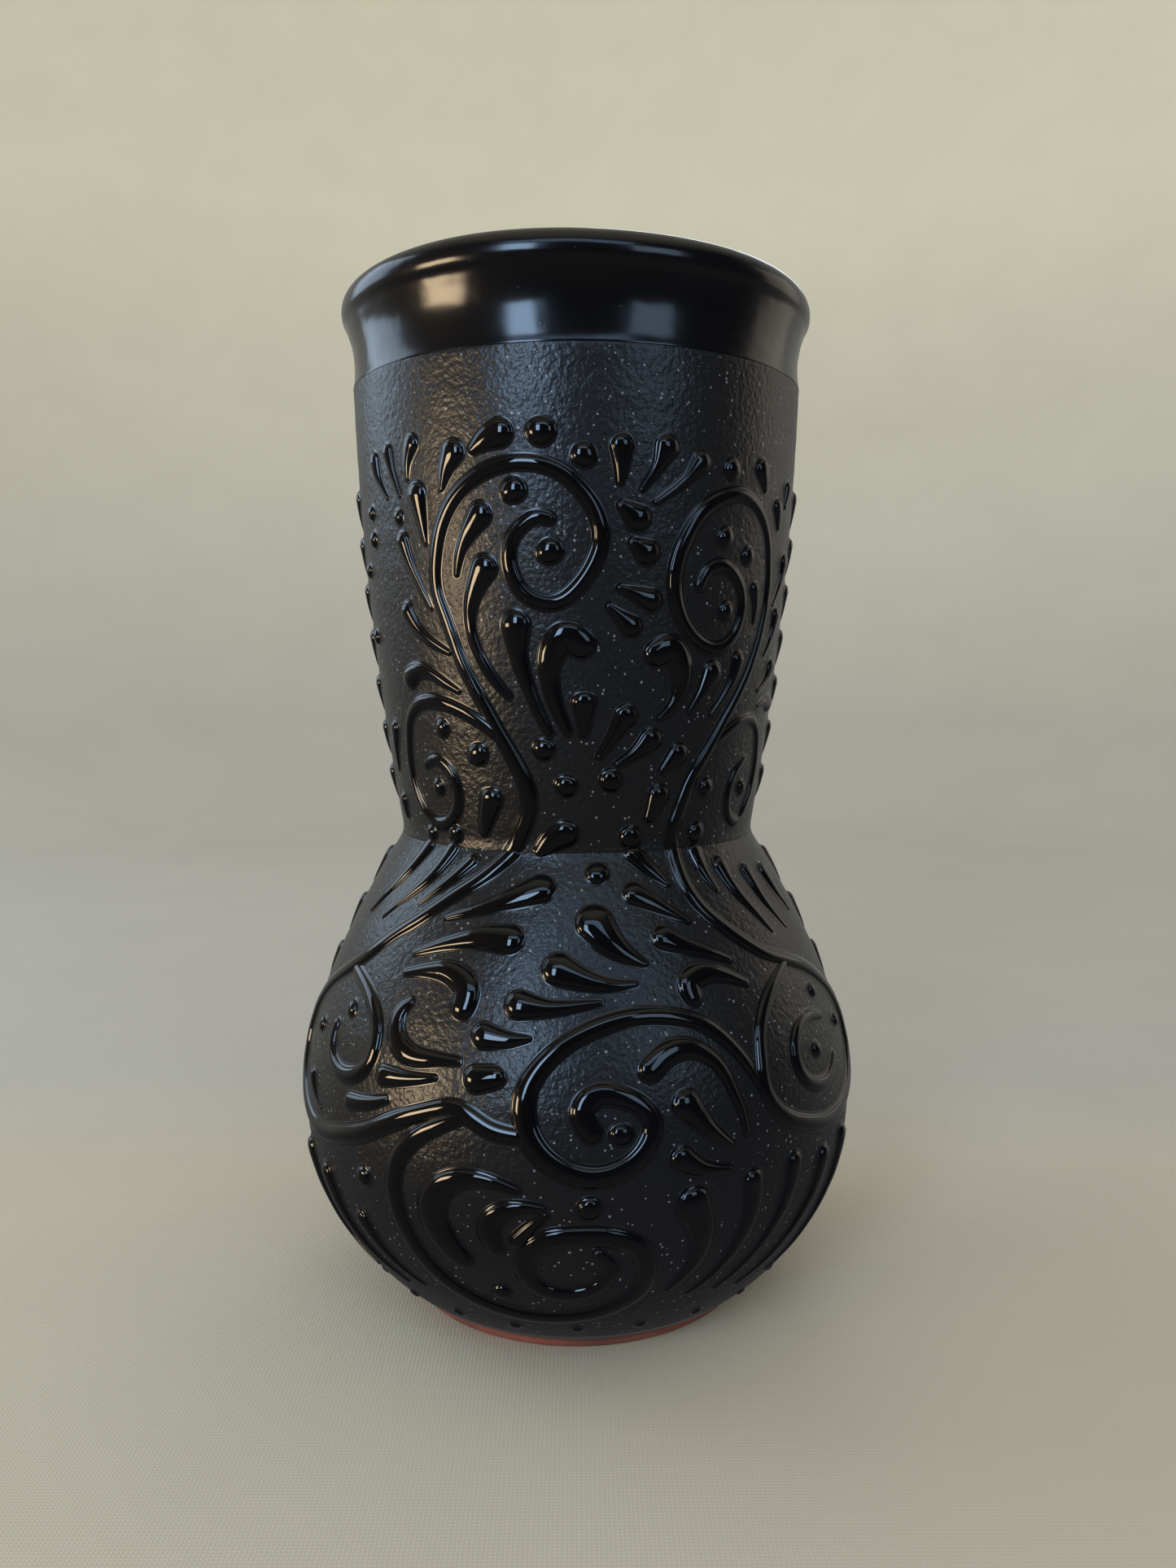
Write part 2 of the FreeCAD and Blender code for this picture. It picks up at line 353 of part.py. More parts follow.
BULB_DROPS = [
    [(-9.5, 9, 3.2), (-15, 11, 2.5), (-21, 13.3, 1.6), (-27, 15.3, 1), (-33, 17.3, 0.6)],
    [(-15.5, 21, 3.2), (-21, 21, 2.7), (-26.5, 22, 1.8), (-33, 24, 1.2), (-39, 26.5, 0.7)],
    [(-23.5, 36.5, 2.9), (-23.5, 33, 3.2), (-27, 30, 2.6), (-33, 29.7, 1.6), (-40, 31.3, 0.8)],
    [(-22.5, 48.3, 0.7), (-28, 48.8, 1.4), (-34, 48.5, 2.3), (-38, 44.5, 2.5), (-38, 40, 1.7),
     (-36.3, 37.6, 1)],
    [(-38.8, 54.5, 2.1), (-33.5, 53.9, 1.5), (-26.8, 52.5, 0.7)],
    [(-18.5, 51.5, 2.8), (-15, 50.7, 2.3)],
    [(-18, 42.3, 2.7), (-13, 42.7, 1.6), (-9.3, 42.2, 0.7)],
    [(-11.5, 35.3, 3.1), (-6, 35.7, 1.7), (0, 35, 1), (4.5, 34.4, 0.6)],
    [(-4, 27.3, 3.5), (1, 29.3, 2.2), (7, 30.7, 1.2), (12, 30.8, 0.7)],
    [(4, 17, 4.1), (7, 21, 3.1), (10.5, 24, 1.8), (14.5, 26.5, 0.8)],
    [(14.5, 10.3, 2.5), (19, 12.8, 1.8), (24, 15.8, 1), (27, 17.6, 0.6)],
    [(20, 21, 2.7), (25, 23.3, 1.8), (30.5, 25.4, 1.1), (35.5, 27.7, 0.7)],
    [(24, 34.5, 2.2), (23.8, 31.7, 2.8), (27.5, 29.9, 2.3), (32.5, 30.8, 1.5), (38.3, 33.6, 0.8)],
    [(18, 3, 1.9), (20.5, 5.4, 1.5), (24, 8.3, 0.8)],
    [(37, 3.5, 2), (37.5, 7.5, 1.5), (39, 11, 0.8)],
    [(44.5, 5.5, 2.3), (45.5, 10.5, 1.8), (48.5, 16, 1.3), (54, 24, 0.7)],
    [(55, 8.5, 2.3), (56, 14, 1.6), (58.5, 19.5, 1), (62, 24.5, 0.7)],
    [(65.5, 9.5, 2.2), (67, 15, 1.5), (70.5, 21.5, 0.7)],
    [(-52, 4, 2), (-55.5, 9, 1.7), (-60, 14.5, 1.2), (-65.5, 20.5, 0.7)],
    [(-40.5, 4, 2), (-43.8, 8.5, 1.6), (-49.5, 14, 1.1), (-56.5, 20.5, 0.7)],
    [(-31, 3.2, 1.6), (-35, 7.3, 1.4), (-39.5, 11.3, 1), (-44, 15.2, 0.6)],
    [(13.3, 49, 2.6), (16.5, 46.2, 2.5), (20.5, 45.4, 2.1), (24.5, 47.3, 1.5), (27.5, 51, 1.2),
     (29.3, 56, 1), (30.8, 61, 0.9), (31.5, 65.5, 0.7)],
    [(19.5, 57, 3), (22, 61, 2.1), (25.3, 64.8, 1.2), (28, 67.3, 0.7)],
    [(18.2, 68.5, 2.6), (22, 71.3, 1.6), (27.5, 72.6, 0.8)],
    [(-10.5, 74.2, 0.8), (-17, 72.5, 1.5), (-23, 74.5, 2.6), (-26.3, 80, 3.6), (-25.5, 87, 3.8),
     (-22, 93, 3)],
    [(-6, 78, 0.7), (-10, 78, 1.3), (-13.7, 80, 2.2), (-15.8, 84, 2.6), (-14.8, 88.5, 2)],
    [(-5.6, 79.6, 0.7), (-8, 82.4, 1.2), (-10.6, 86.3, 1.7)],
    [(20.5, 79, 3.9), (22.5, 85, 3.3), (22.8, 91.5, 2.3), (20.8, 98, 1.4), (17.8, 102.5, 0.8)],
    [(33, 77, 2.7), (33.3, 84, 2.4), (31.5, 92, 1.8), (28, 99.5, 1.2), (23, 105.5, 0.7)],
    [(44, 76.3, 2.4), (42.8, 84, 2.1), (40, 92, 1.6), (35.5, 100, 1.1), (30, 106.5, 0.7)],
    [(55, 79, 2.6), (53, 87, 2), (49, 95, 1.5), (43.5, 102.5, 1.1), (37, 108.5, 0.7)],
    [(66, 78.5, 2.6), (64.5, 87, 2), (61, 95, 1.5), (55.5, 103, 1.1), (48, 109.5, 0.7)],
    [(-58.5, 85, 2.9), (-56.5, 91.5, 2.5), (-53, 98, 1.8), (-47.5, 104, 1.3), (-40.5, 109, 0.7)],
    [(-71, 84, 2.9), (-69.5, 91.5, 2.3), (-66, 98.5, 1.7), (-60, 105.5, 1.1), (-53, 110, 0.7)],
    [(-46.5, 91.5, 2.5), (-44, 97, 1.8), (-39.8, 102.5, 1.2), (-34.5, 107, 0.7)],
    [(-66, 63.5, 2), (-63, 66.8, 1.3), (-59.5, 68.7, 0.7)],
    [(-47.5, 62.8, 1.8), (-44.5, 62.2, 1.6), (-40.5, 61, 1.2), (-37, 59.4, 0.8)],
]
BULB_DOTS = [
    (5.3, 5.2, 2.4), (-54, 43, 2), (-66.5, 50.5, 2), (2, 77.8, 2.4), (-43, 79, 2.4),
    (-15, 102, 2.4), (7.5, 62, 2.3), (61.5, 40.8, 1.9), (55, 53.5, 2), (70, 51, 1.9),
]
# The pattern is trailed twice, once on each side, with a leafy column at each join.
TURNS = (0, 180)
SIDES = (90, 270)
LEAF_ROWS = 7
FOOT_DOTS, FOOT_DOT_TAPE, FOOT_DOT_SIZE = 24, 117.8, 1.5


def neck_leaves():
    """Pairs of leaves up the two joins of the neck."""
    leaves = []
    for row in range(LEAF_ROWS):
        tip = 8 + 11.5 * row
        for side in (-1, 1):
            leaves.append([(side * 8, tip + 7.5, 2.2), (side * 5, tip + 3.2, 1.3),
                           (side * 2.2, tip, 0.7)])
    return leaves


def bulb_leaves():
    """One row of hanging leaves down the two joins of the bulb."""
    return [[(0, 8 + 14.5 * row, 2.2), (0, 12.5 + 14.5 * row, 1.5), (0, 16.5 + 14.5 * row, 0.7)]
            for row in range(LEAF_ROWS)]


# ---------------------------------------------------------------- relief solids
class Wall:
    """Outer face of one turned piece, followed with a tape from the waist."""

    def __init__(self, outline, tape):
        """outline: (start point, end point, arc name) from the waist on; tape: layout length."""
        self.arcs = []
        self.length = 0.0
        for start, end, arc in outline:
            first, last, radius = corner(start), corner(end), size(arc)
            sign = 1 if last[1] > first[1] else -1
            middle = arc_middle(first, last, radius, sign)
            mid_r, mid_z = (first[0] + last[0]) / 2, (first[1] + last[1]) / 2
            out = math.hypot(middle[0] - mid_r, middle[1] - mid_z)
            unit = ((middle[0] - mid_r) / out, (middle[1] - mid_z) / out)
            centre = (middle[0] - unit[0] * radius, middle[1] - unit[1] * radius)
            begin = math.atan2(first[1] - centre[1], first[0] - centre[0])
            finish = math.atan2(last[1] - centre[1], last[0] - centre[0])
            self.arcs.append((self.length, centre, radius, begin, 1 if finish > begin else -1))
            self.length += radius * abs(finish - begin)
        self.stretch = self.length / tape

    def at(self, angle, tape):
        """Point on the wall and its outward normal."""
        along = min(max(tape * self.stretch, 0.0), self.length)
        offset, centre, radius, begin, way = [arc for arc in self.arcs if arc[0] <= along][-1]
        turn = begin + way * (along - offset) / radius
        r, z = centre[0] + radius * math.cos(turn), centre[1] + radius * math.sin(turn)
        sine, cosine = math.sin(math.radians(angle)), math.cos(math.radians(angle))
        return (FreeCAD.Vector(r * sine, -r * cosine, z),
                FreeCAD.Vector(math.cos(turn) * sine, -math.cos(turn) * cosine, math.sin(turn)))


neck_wall = Wall([("waist_coat", "line_coat", "neck_arc_coat")], NECK_TAPE)
bulb_wall = Wall([("waist_coat", "shoulder_coat", "cone_arc_coat"),
                  ("shoulder_coat", "belly_coat", "high_arc_coat"),
                  ("belly_coat", "satin_coat", "low_arc_coat")], BULB_TAPE)


def core():
    """Everything inside the outer face of the coats, used to trim relief to its seat."""
    path = [("axis_foot", None), ("band_coat", ("low_arc_coat", 1)),
            ("belly_coat", ("high_arc_coat", 1)), ("shoulder_coat", ("cone_arc_coat", 1)),
            ("waist_coat", ("neck_arc_coat", 1)), ("line_coat", None), ("axis_top", None)]
    edges = []
    for index, (point, bend) in enumerate(path):
        target = path[(index + 1) % len(path)][0]
        edges.append(edge_between(corner(point), corner(target), bend,
                                  lambda r, z: FreeCAD.Vector(r, 0, z)).toShape())
    face = Part.Face(Part.Wire(edges))
    return face.revolve(FreeCAD.Vector(0, 0, 0), FreeCAD.Vector(0, 0, 1), 360)


CORE = core()
RISE, REACH, SINK = size("relief_height"), size("relief_reach"), size("relief_sink")
CAP_STEPS = ((0.97, 0.24), (0.75, 0.66))


def rise(half_width):
    """Height of a trail of slip: wide trails stand taller, but not without limit."""
    return RISE * (1 - math.exp(-half_width / REACH))


def laid(wires, bulks):
    """Slip lofted through the sections and trimmed to its seat on the coats.

    bulks holds the volume that should stand clear of the coats between each section and the
    next.  Where one loft does not give that volume, the trail is laid as two shorter lengths
    that meet at a section, so all of it is there.
    """
    cut = Part.makeLoft(wires, True, False, False, 3).cut(CORE)
    whole = cut.Volume / sum(bulks)
    if cut.isValid() and (0.75 < whole < 1.4 or len(wires) < 4):
        return cut.Solids
    if len(wires) < 4:
        raise RuntimeError("a length of slip does not form")
    half = len(wires) // 2
    return laid(wires[:half + 1], bulks[:half]) + laid(wires[half:], bulks[half:])


def clear(half_width):
    """Area of a trail's cross section that stands clear of the coats."""
    return half_width * (1.36 * (rise(half_width) + SINK) - 1.9 * SINK)


def bend_radius(before, here, after):
    """Radius of the circle through three points."""
    a, b, c = (here - before).Length, (after - here).Length, (after - before).Length
    area = (here - before).cross(after - before).Length / 2
    return a * b * c / (4 * area) if area > 1e-9 else 1e9


def section(point, normal, along, half_width):
    """Closed D of one cross section of a trail, sunk a little into the wall."""
    side = normal.cross(along).normalize()
    low = point - normal * SINK
    left, right = low - side * half_width, low + side * half_width
    top = point + normal * rise(half_width)
    return Part.Wire([Part.Arc(left, top, right).toShape(), Part.LineSegment(right, left).toShape()])


def trail(wall, stations, scale):
    """Trail of slip through its stations, rounded at both ends."""
    spots = [wall.at(angle, tape) for angle, tape, _ in stations]
    widths = [width * scale for _, _, width in stations]
    points = [spot[0] for spot in spots]
    for index in range(1, len(points) - 1):
        widths[index] = min(widths[index], 0.8 * bend_radius(*points[index - 1:index + 2]))
    last = len(points) - 1
    wires, halves, middles = [], [], []
    for index, (point, normal) in enumerate(spots):
        along = points[min(index + 1, last)] - points[max(index - 1, 0)]
        along = (along - normal * along.dot(normal)).normalize()
        body = [(point, widths[index])]
        if index in (0, last):
            away = -along if index == 0 else along
            drop = bow(wall, stations[index], normal)
            caps = [(point + away * (widths[index] * step)
                     - normal * (drop * (widths[index] * step) ** 2 / 2), widths[index] * part)
                    for step, part in CAP_STEPS]
            body = caps + body if index == 0 else body + caps[::-1]
        wires += [section(middle, normal, along, half) for middle, half in body]
        middles += [middle for middle, _ in body]
        halves += [half for _, half in body]
    bulks = [(clear(halves[step]) + clear(halves[step + 1])) / 2
             * (middles[step + 1] - middles[step]).Length for step in range(len(wires) - 1)]
    return laid(wires, bulks)


def dot(wall, angle, tape, half_width):
    """Round dot: a trail with almost no length."""
    near = 0.08 * half_width
    return trail(wall, [(angle, tape - near, half_width), (angle, tape + near, half_width)], 1.0)


def bow(wall, station, normal):
    """How fast the wall falls away from its tangent round the pot."""
    point = wall.at(station[0], station[1])[0]
    return math.hypot(normal.x, normal.y) / math.hypot(point.x, point.y)


def group(name, solids):
    """One named piece made of separate bits of slip."""
    item = doc.addObject("Part::Feature", name)
    item.Label = name
    item.Shape = Part.makeCompound([bit for bits in solids for bit in bits])
    item.Placement = FreeCAD.Placement()
    pieces.append(item)


def turned(trails, angles):
    """Copies of the trails, each a list of solids, turned round the pot."""
    axis = (FreeCAD.Vector(0, 0, 0), FreeCAD.Vector(0, 0, 1))
    return [[bit.rotated(*axis, angle) for bit in bits] for angle in angles for bits in trails]


neck_scale = min(1.0, neck_wall.stretch, size("line_radius") / 55.6, size("waist_radius") / 44.8)
bulb_scale = min(1.0, bulb_wall.stretch, size("belly_radius") / 71.0, size("waist_radius") / 44.8)

group("neck_scrolls", turned([trail(neck_wall, item, neck_scale) for item in NECK_SCROLLS], TURNS))
group("neck_drops", turned([trail(neck_wall, item, neck_scale) for item in NECK_DROPS], TURNS)
      + turned([trail(neck_wall, item, neck_scale) for item in neck_leaves()], SIDES))
group("neck_dots", turned([dot(neck_wall, angle, tape, width * neck_scale)
                           for angle, tape, width in NECK_DOTS], TURNS))
group("bulb_scrolls", turned([trail(bulb_wall, item, bulb_scale) for item in BULB_SCROLLS], TURNS))
group("bulb_drops", turned([trail(bulb_wall, item, bulb_scale) for item in BULB_DROPS], TURNS)
      + turned([trail(bulb_wall, item, bulb_scale) for item in bulb_leaves()], SIDES))
group("bulb_dots", turned([dot(bulb_wall, angle, tape, width * bulb_scale)
                           for angle, tape, width in BULB_DOTS], TURNS))
foot_dot = dot(bulb_wall, 0, FOOT_DOT_TAPE, FOOT_DOT_SIZE * bulb_scale)
group("foot_dots", turned([foot_dot], [360 / FOOT_DOTS * step for step in range(FOOT_DOTS)]))

# ---------------------------------------------------------------- checks and files
doc.recompute()
for item in doc.Objects:
    if "Invalid" in item.State or "Error" in item.State:
        raise RuntimeError(f"{item.Label}: {item.State}")
for piece in pieces:
    if piece.Shape.isNull() or not piece.Shape.isValid():
        raise RuntimeError(f"{piece.Label}: the shape is not valid")
    piece.Shape.exportStep(os.path.join("parts", piece.Label + ".step"))
    print(piece.Label, len(piece.Shape.Solids), round(piece.Shape.Volume, 1))
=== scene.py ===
"""Looks of a black glazed clay vase with trailed slip relief, dressed on its CAD frame.

The vase is thrown in two parts, a round bulb and a flaring neck, luted at the waist.  Satin
black slip covers both, a gloss glaze covers the rolled rim, and scrolls, drops and dots of
slip stand proud of the wall under a mirror glaze.  Every piece takes its place from the CAD
frame, in metres: +Z is up and the origin is the middle of the foot on the table.
"""
import logging
import math
from dataclasses import dataclass
from enum import Enum
from typing import Callable, Iterable, Sequence

import bmesh
import bpy
import numpy as np
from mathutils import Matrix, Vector


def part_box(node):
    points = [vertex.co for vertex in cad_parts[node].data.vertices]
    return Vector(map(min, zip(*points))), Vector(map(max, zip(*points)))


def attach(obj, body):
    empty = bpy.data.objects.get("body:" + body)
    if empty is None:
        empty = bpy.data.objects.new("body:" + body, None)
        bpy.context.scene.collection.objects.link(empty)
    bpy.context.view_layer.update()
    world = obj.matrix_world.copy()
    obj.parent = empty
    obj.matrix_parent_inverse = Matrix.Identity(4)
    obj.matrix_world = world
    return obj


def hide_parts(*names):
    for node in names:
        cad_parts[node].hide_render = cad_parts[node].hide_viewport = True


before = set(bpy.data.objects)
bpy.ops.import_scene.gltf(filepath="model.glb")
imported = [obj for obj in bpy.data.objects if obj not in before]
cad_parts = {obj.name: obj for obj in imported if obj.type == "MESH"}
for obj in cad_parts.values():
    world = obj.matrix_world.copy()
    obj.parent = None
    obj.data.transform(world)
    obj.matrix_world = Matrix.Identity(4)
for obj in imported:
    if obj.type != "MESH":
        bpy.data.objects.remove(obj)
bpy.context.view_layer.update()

MM = 0.001
BODY = "root"
LOG = logging.getLogger("vase")

# Relief laid out on the wall as (angle in degrees from the front, tape in mm from the waist,
# half width in mm).  Tape runs up the neck and down the bulb.
Station = tuple[float, float, float]
NECK_SCROLLS = [
    [(-19.5, -0.5, 1.8), (-16.5, 4, 1.7), (-13.2, 12, 1.7), (-16, 20, 1.6), (-21, 28, 1.4),
     (-25, 34.5, 1.4),
     (-30, 43, 1.4), (-34, 53, 1.4), (-36.5, 60, 1.4), (-36, 67, 1.5), (-33, 75, 1.6),
     (-27, 81.5, 1.5), (-19, 85.3, 1.5), (-11, 86, 1.5), (-4, 84, 1.5), (1, 80, 1.5),
     (4.5, 75, 1.5), (5.5, 70, 1.5), (4, 65, 1.5), (0.5, 60, 1.5), (-5, 56.4, 1.5),
     (-10, 57, 1.5), (-14, 60, 1.5), (-16, 65, 1.5), (-15.5, 69.5, 1.4), (-12.5, 73, 1.4),
     (-9, 74.6, 1.4), (-6.5, 74.2, 1.3)],
    [(29, -0.5, 1.7), (28.3, 3.5, 1.6), (29.7, 8, 1.6), (33, 16, 1.5), (38.5, 23.5, 1.4),
     (43.5, 30, 1.3),
     (49.5, 37.5, 1.3), (54, 45, 1.3), (57, 53, 1.3), (58, 61, 1.3), (57, 68, 1.3),
     (54.5, 74, 1.3), (50, 78.5, 1.3), (44, 81, 1.4), (37.5, 80.3, 1.5), (31, 77, 1.6),
     (26.5, 71, 1.6), (24, 64, 1.6), (24.5, 57, 1.5), (28, 51, 1.4), (33.5, 47.3, 1.4),
     (39, 46.8, 1.4), (43.5, 49.5, 1.3), (46, 54.5, 1.3), (45.5, 59.5, 1.3), (42, 63.5, 1.3),
     (37.5, 65.3, 1.3), (33.3, 64, 1.3), (31, 60.5, 1.2)],
    [(-20.8, 27, 1.2), (-26.5, 30.3, 1.3), (-33, 33, 1.4), (-40, 34.5, 1.5), (-47, 34, 1.5),
     (-52.5, 30.5, 1.4),
     (-55, 25, 1.4), (-56, 18, 1.4), (-54, 11, 1.4), (-49, 6.2, 1.4), (-42, 5.5, 1.5),
     (-37, 9, 1.5), (-36, 14.5, 1.4), (-38.5, 19, 1.3), (-43, 20.8, 1.2), (-47.5, 19.5, 1)],
    [(41.5, 25.5, 1.1), (45.5, 27.5, 1.2), (50.5, 29.4, 1.3), (56, 30, 1.3), (61.5, 27.5, 1.3),
     (64.5, 22, 1.3),
     (65, 15, 1.3), (62, 8.5, 1.3), (57, 4.8, 1.3), (51.5, 6.5, 1.3), (49.5, 12, 1.2),
     (52, 17.5, 1.1), (56, 20.3, 0.9)],
]
NECK_DROPS = [
    [(-17.5, 92.3, 3), (-20.5, 91.3, 2.4), (-24, 89.3, 1.2)],
    [(-29.5, 89, 2.8), (-31.5, 85.5, 1.7), (-33, 81.5, 0.7)],
    [(-42, 92, 2.1), (-43.6, 88.5, 1.3), (-44, 85, 0.7)],
    [(-51.5, 91.5, 1.9), (-50, 87, 1.1), (-47.5, 81.5, 0.7)],
    [(-58.5, 90.5, 2.1), (-57, 86, 1.3), (-53, 81.5, 0.7)],
    [(-41, 81, 2.7), (-40, 76, 1.6), (-38.9, 70.5, 0.7)],
    [(-47.5, 71, 2.3), (-44.5, 65, 1.3), (-41, 59.5, 0.9), (-38.8, 56, 0.6)],
    [(-48, 55, 2.4), (-44, 51, 1.3), (-38.5, 47.7, 1), (-34, 45.7, 0.7)],
    [(-50, 40, 2.6), (-46.5, 41.5, 2), (-41, 41, 1.2), (-36, 38.8, 1), (-32, 37, 0.7)],
    [(-23, 75.5, 2.7), (-26, 72, 1.9), (-28.5, 68, 1.2), (-30, 63, 0.7)],
    [(-22.5, 64, 3), (-25.5, 59, 1.9), (-27, 52, 1.2), (-25, 45, 1.1), (-21, 39.5, 1),
     (-17.5, 36, 0.7)],
    [(-15, 51.5, 3.2), (-14.5, 45, 1.7), (-12, 37.5, 1.1), (-9, 31, 1), (-7, 27.6, 0.7)],
    [(1, 47.3, 3), (-2.5, 49, 3.4), (-6, 45.5, 2.8), (-6.8, 40, 1.8), (-5.2, 33.5, 1.3),
     (-2.3, 28, 0.8)],
    [(1.8, 34.5, 2.5), (1.8, 31, 1.6), (1.7, 27.5, 0.8)],
    [(12.5, 31.5, 2.4), (9.5, 27, 1.3), (6, 22.5, 0.7)],
    [(19.5, 26, 2.5), (15.5, 23, 1.3), (10.8, 20.6, 0.7)],
    [(28, 22.5, 2.4), (23.8, 19, 1)],
    [(23, 13, 2.4), (20.8, 8, 1.3)],
    [(-24.5, 12, 2.7), (-26.3, 8, 2.1), (-27.5, 4.5, 1.2)],
    [(-3.5, 4.4, 2.9), (-7.5, 2.5, 2.4), (-10.5, 0, 1.6)],
    [(46.5, 44, 2), (45.5, 40.5, 1.5), (42.5, 36, 1), (38.3, 31.6, 0.7)],
    [(37, 41, 2.7), (34.5, 37, 1.5), (30.8, 32.5, 0.7)],
    [(20, 45.3, 2.8), (23.5, 46.3, 3.2), (26.8, 42.5, 2.8), (27.3, 37.5, 1.9), (25.3, 33.5, 1.2),
     (22, 31, 0.7)],
    [(13.8, 74.5, 2.9), (10.5, 77, 1.1)],
    [(16.3, 67.3, 2.8), (13.3, 69.3, 1.1)],
    [(17.8, 57, 2.4), (14, 58.3, 1.5), (10.3, 59.6, 0.7)],
    [(13, 51.3, 2.3), (10.5, 53.3, 1.4), (7.7, 55.6, 0.7)],
    [(10, 89.5, 2.4), (10, 85.5, 1.4), (9.7, 82, 0.7)],
    [(20.5, 89.5, 2.6), (18.5, 85.5, 1.1), (15, 80.5, 0.7)],
    [(29.5, 87, 2.2), (26, 83.5, 0.9), (21.5, 80, 0.8), (18.5, 78, 0.7)],
    [(50.5, 87.5, 2.5), (52.2, 83.5, 1.1)],
    [(60, 80, 2.2), (61.2, 75.5, 1)],
    [(51, 60.5, 1.7), (52, 56.5, 1.1), (52, 53, 0.7)],
    [(66, 55, 2.2), (64.5, 50.5, 1.3), (60.5, 45.5, 0.7)],
    [(67, 42.5, 2.2), (64, 39.5, 1.3), (59, 36.8, 0.8)],
    [(69.5, 33.5, 2.3), (65.5, 33.8, 1.5), (60.5, 33, 0.7)],
    [(69, 68, 2.3), (67.5, 63, 1.3), (63, 57.5, 0.7)],
    [(67, 85, 2.2), (65.5, 81, 1.1)],
    [(-64, 27.5, 2), (-65.5, 22, 1.3), (-66.5, 17, 0.7)],
    [(-66, 9.5, 2), (-65.5, 5.5, 1)],
]
NECK_DOTS = [
    (-8, 92.3, 3), (1.5, 87.4, 2.6), (39, 86.4, 2.2), (-14.5, 80.3, 2.7), (-48.5, 76.7, 1.7),
    (-63, 79, 1.9), (-63, 72.8, 2.1), (-70, 66, 1.9), (-70, 50, 2), (-6.3, 67.3, 2.7),
    (38, 71.5, 2.1), (46.8, 67.8, 2.1), (40, 55, 2.1), (-38.8, 28.3, 2), (-27.5, 22.6, 2.5),
    (-43, 14.2, 1.9), (-8.8, 24, 2.3), (9, 16.8, 2.4), (-3, 15.6, 2.3), (56.5, 13.2, 1.9),
    (39, 14.2, 2), (-38.5, 3.2, 2.1), (37, 3.4, 2.3), (15.3, 3.3, 2.5), (-49.5, 2.6, 1.9),
]
BULB_SCROLLS = [
    [(-19, 0.5, 1.8), (-25.5, 6.5, 1.7), (-31, 10.5, 1.6), (-37, 15, 1.5), (-43, 19.7, 1.5),
     (-49, 24, 1.5), (-54.5, 29, 1.6), (-62, 34.5, 1.7), (-70, 40, 1.8), (-77, 48, 1.9),
     (-79, 57, 2), (-76, 66, 2.1), (-69, 72, 2.2), (-60, 74, 2.2), (-50, 71.5, 2.1),
     (-41, 67.5, 2), (-34, 63, 1.9), (-28, 60, 1.8), (-21.5, 58.3, 1.8), (-15.5, 61.5, 1.8),
     (-10.5, 62.5, 1.6)],
    [(-58.5, 34.5, 1.4), (-51.5, 37.3, 1.6), (-46, 41.5, 1.8), (-43, 47, 1.8),
     (-43.5, 53, 1.8), (-48, 57, 1.8), (-54, 57, 1.8), (-58, 53, 1.7), (-58.5, 48, 1.5)],
    [(29, 0.2, 1.7), (29.2, 8, 1.6), (31.5, 14, 1.6), (36.5, 19.7, 1.5), (42, 24.5, 1.5),
     (48, 28.5, 1.5), (54, 31, 1.6), (62, 34.5, 1.7), (70, 40, 1.8), (77, 48, 1.9),
     (79, 57, 2), (76, 64.5, 2.1), (68, 69.5, 2.1), (58, 71, 2), (48, 68.5, 1.9),
     (40.5, 64, 1.8), (37, 58, 1.7), (37, 51.5, 1.6), (38.5, 45, 1.5), (42.5, 39, 1.5),
     (47.5, 35, 1.4), (53.5, 31.8, 1.2)],
    [(61, 47, 1.2), (56.5, 45.7, 1.4), (51, 46.7, 1.6), (47.3, 51, 1.6), (47.8, 57, 1.6),
     (52.5, 61, 1.6), (58.5, 61, 1.5), (62.5, 57.5, 1.3)],
    [(35.8, 56.5, 0.8), (33.6, 51.5, 1.1), (29.5, 45, 1.3), (26, 41.5, 1.5), (21.5, 39.2, 1.6),
     (16, 37.9, 1.7), (10, 37.9, 1.7), (4, 39.6, 1.8), (-2, 43, 1.8), (-6.3, 47.5, 1.9),
     (-9, 53, 2.1), (-9.2, 59, 2.3), (-7, 65, 2.4), (-2.7, 69.3, 2.3), (3.2, 71, 2.2),
     (8.5, 69, 2.1), (12, 64.8, 2), (13, 60, 1.9), (11, 56.3, 1.9), (7, 54, 2.1),
     (3, 54, 2.4), (1, 57, 2.6), (2.3, 61.5, 2.2)],
    [(-20, 59.5, 1.2), (-25, 62.2, 1.6), (-29.5, 65.7, 1.9), (-33, 70.5, 2.1),
     (-34.8, 77, 2.2), (-34.5, 84, 2.3), (-32.5, 92, 2.3), (-29, 99, 2.3), (-23.5, 105, 2.2),
     (-16, 109.3, 2.1), (-7, 111, 2), (2, 109.5, 2), (8.6, 105.5, 2.1), (12.4, 99.8, 2.2),
     (12.8, 94, 2.3), (11, 88.5, 2.3), (6.5, 85.2, 2.3), (0, 84.5, 2.3), (-6, 86, 2.3),
     (-9.5, 91, 2.2), (-9, 97, 2.2), (-4.5, 101, 2.1), (1, 100.8, 2), (4.6, 98, 1.8),
     (6, 93.3, 1.7), (3.8, 89.2, 1.3)],
]
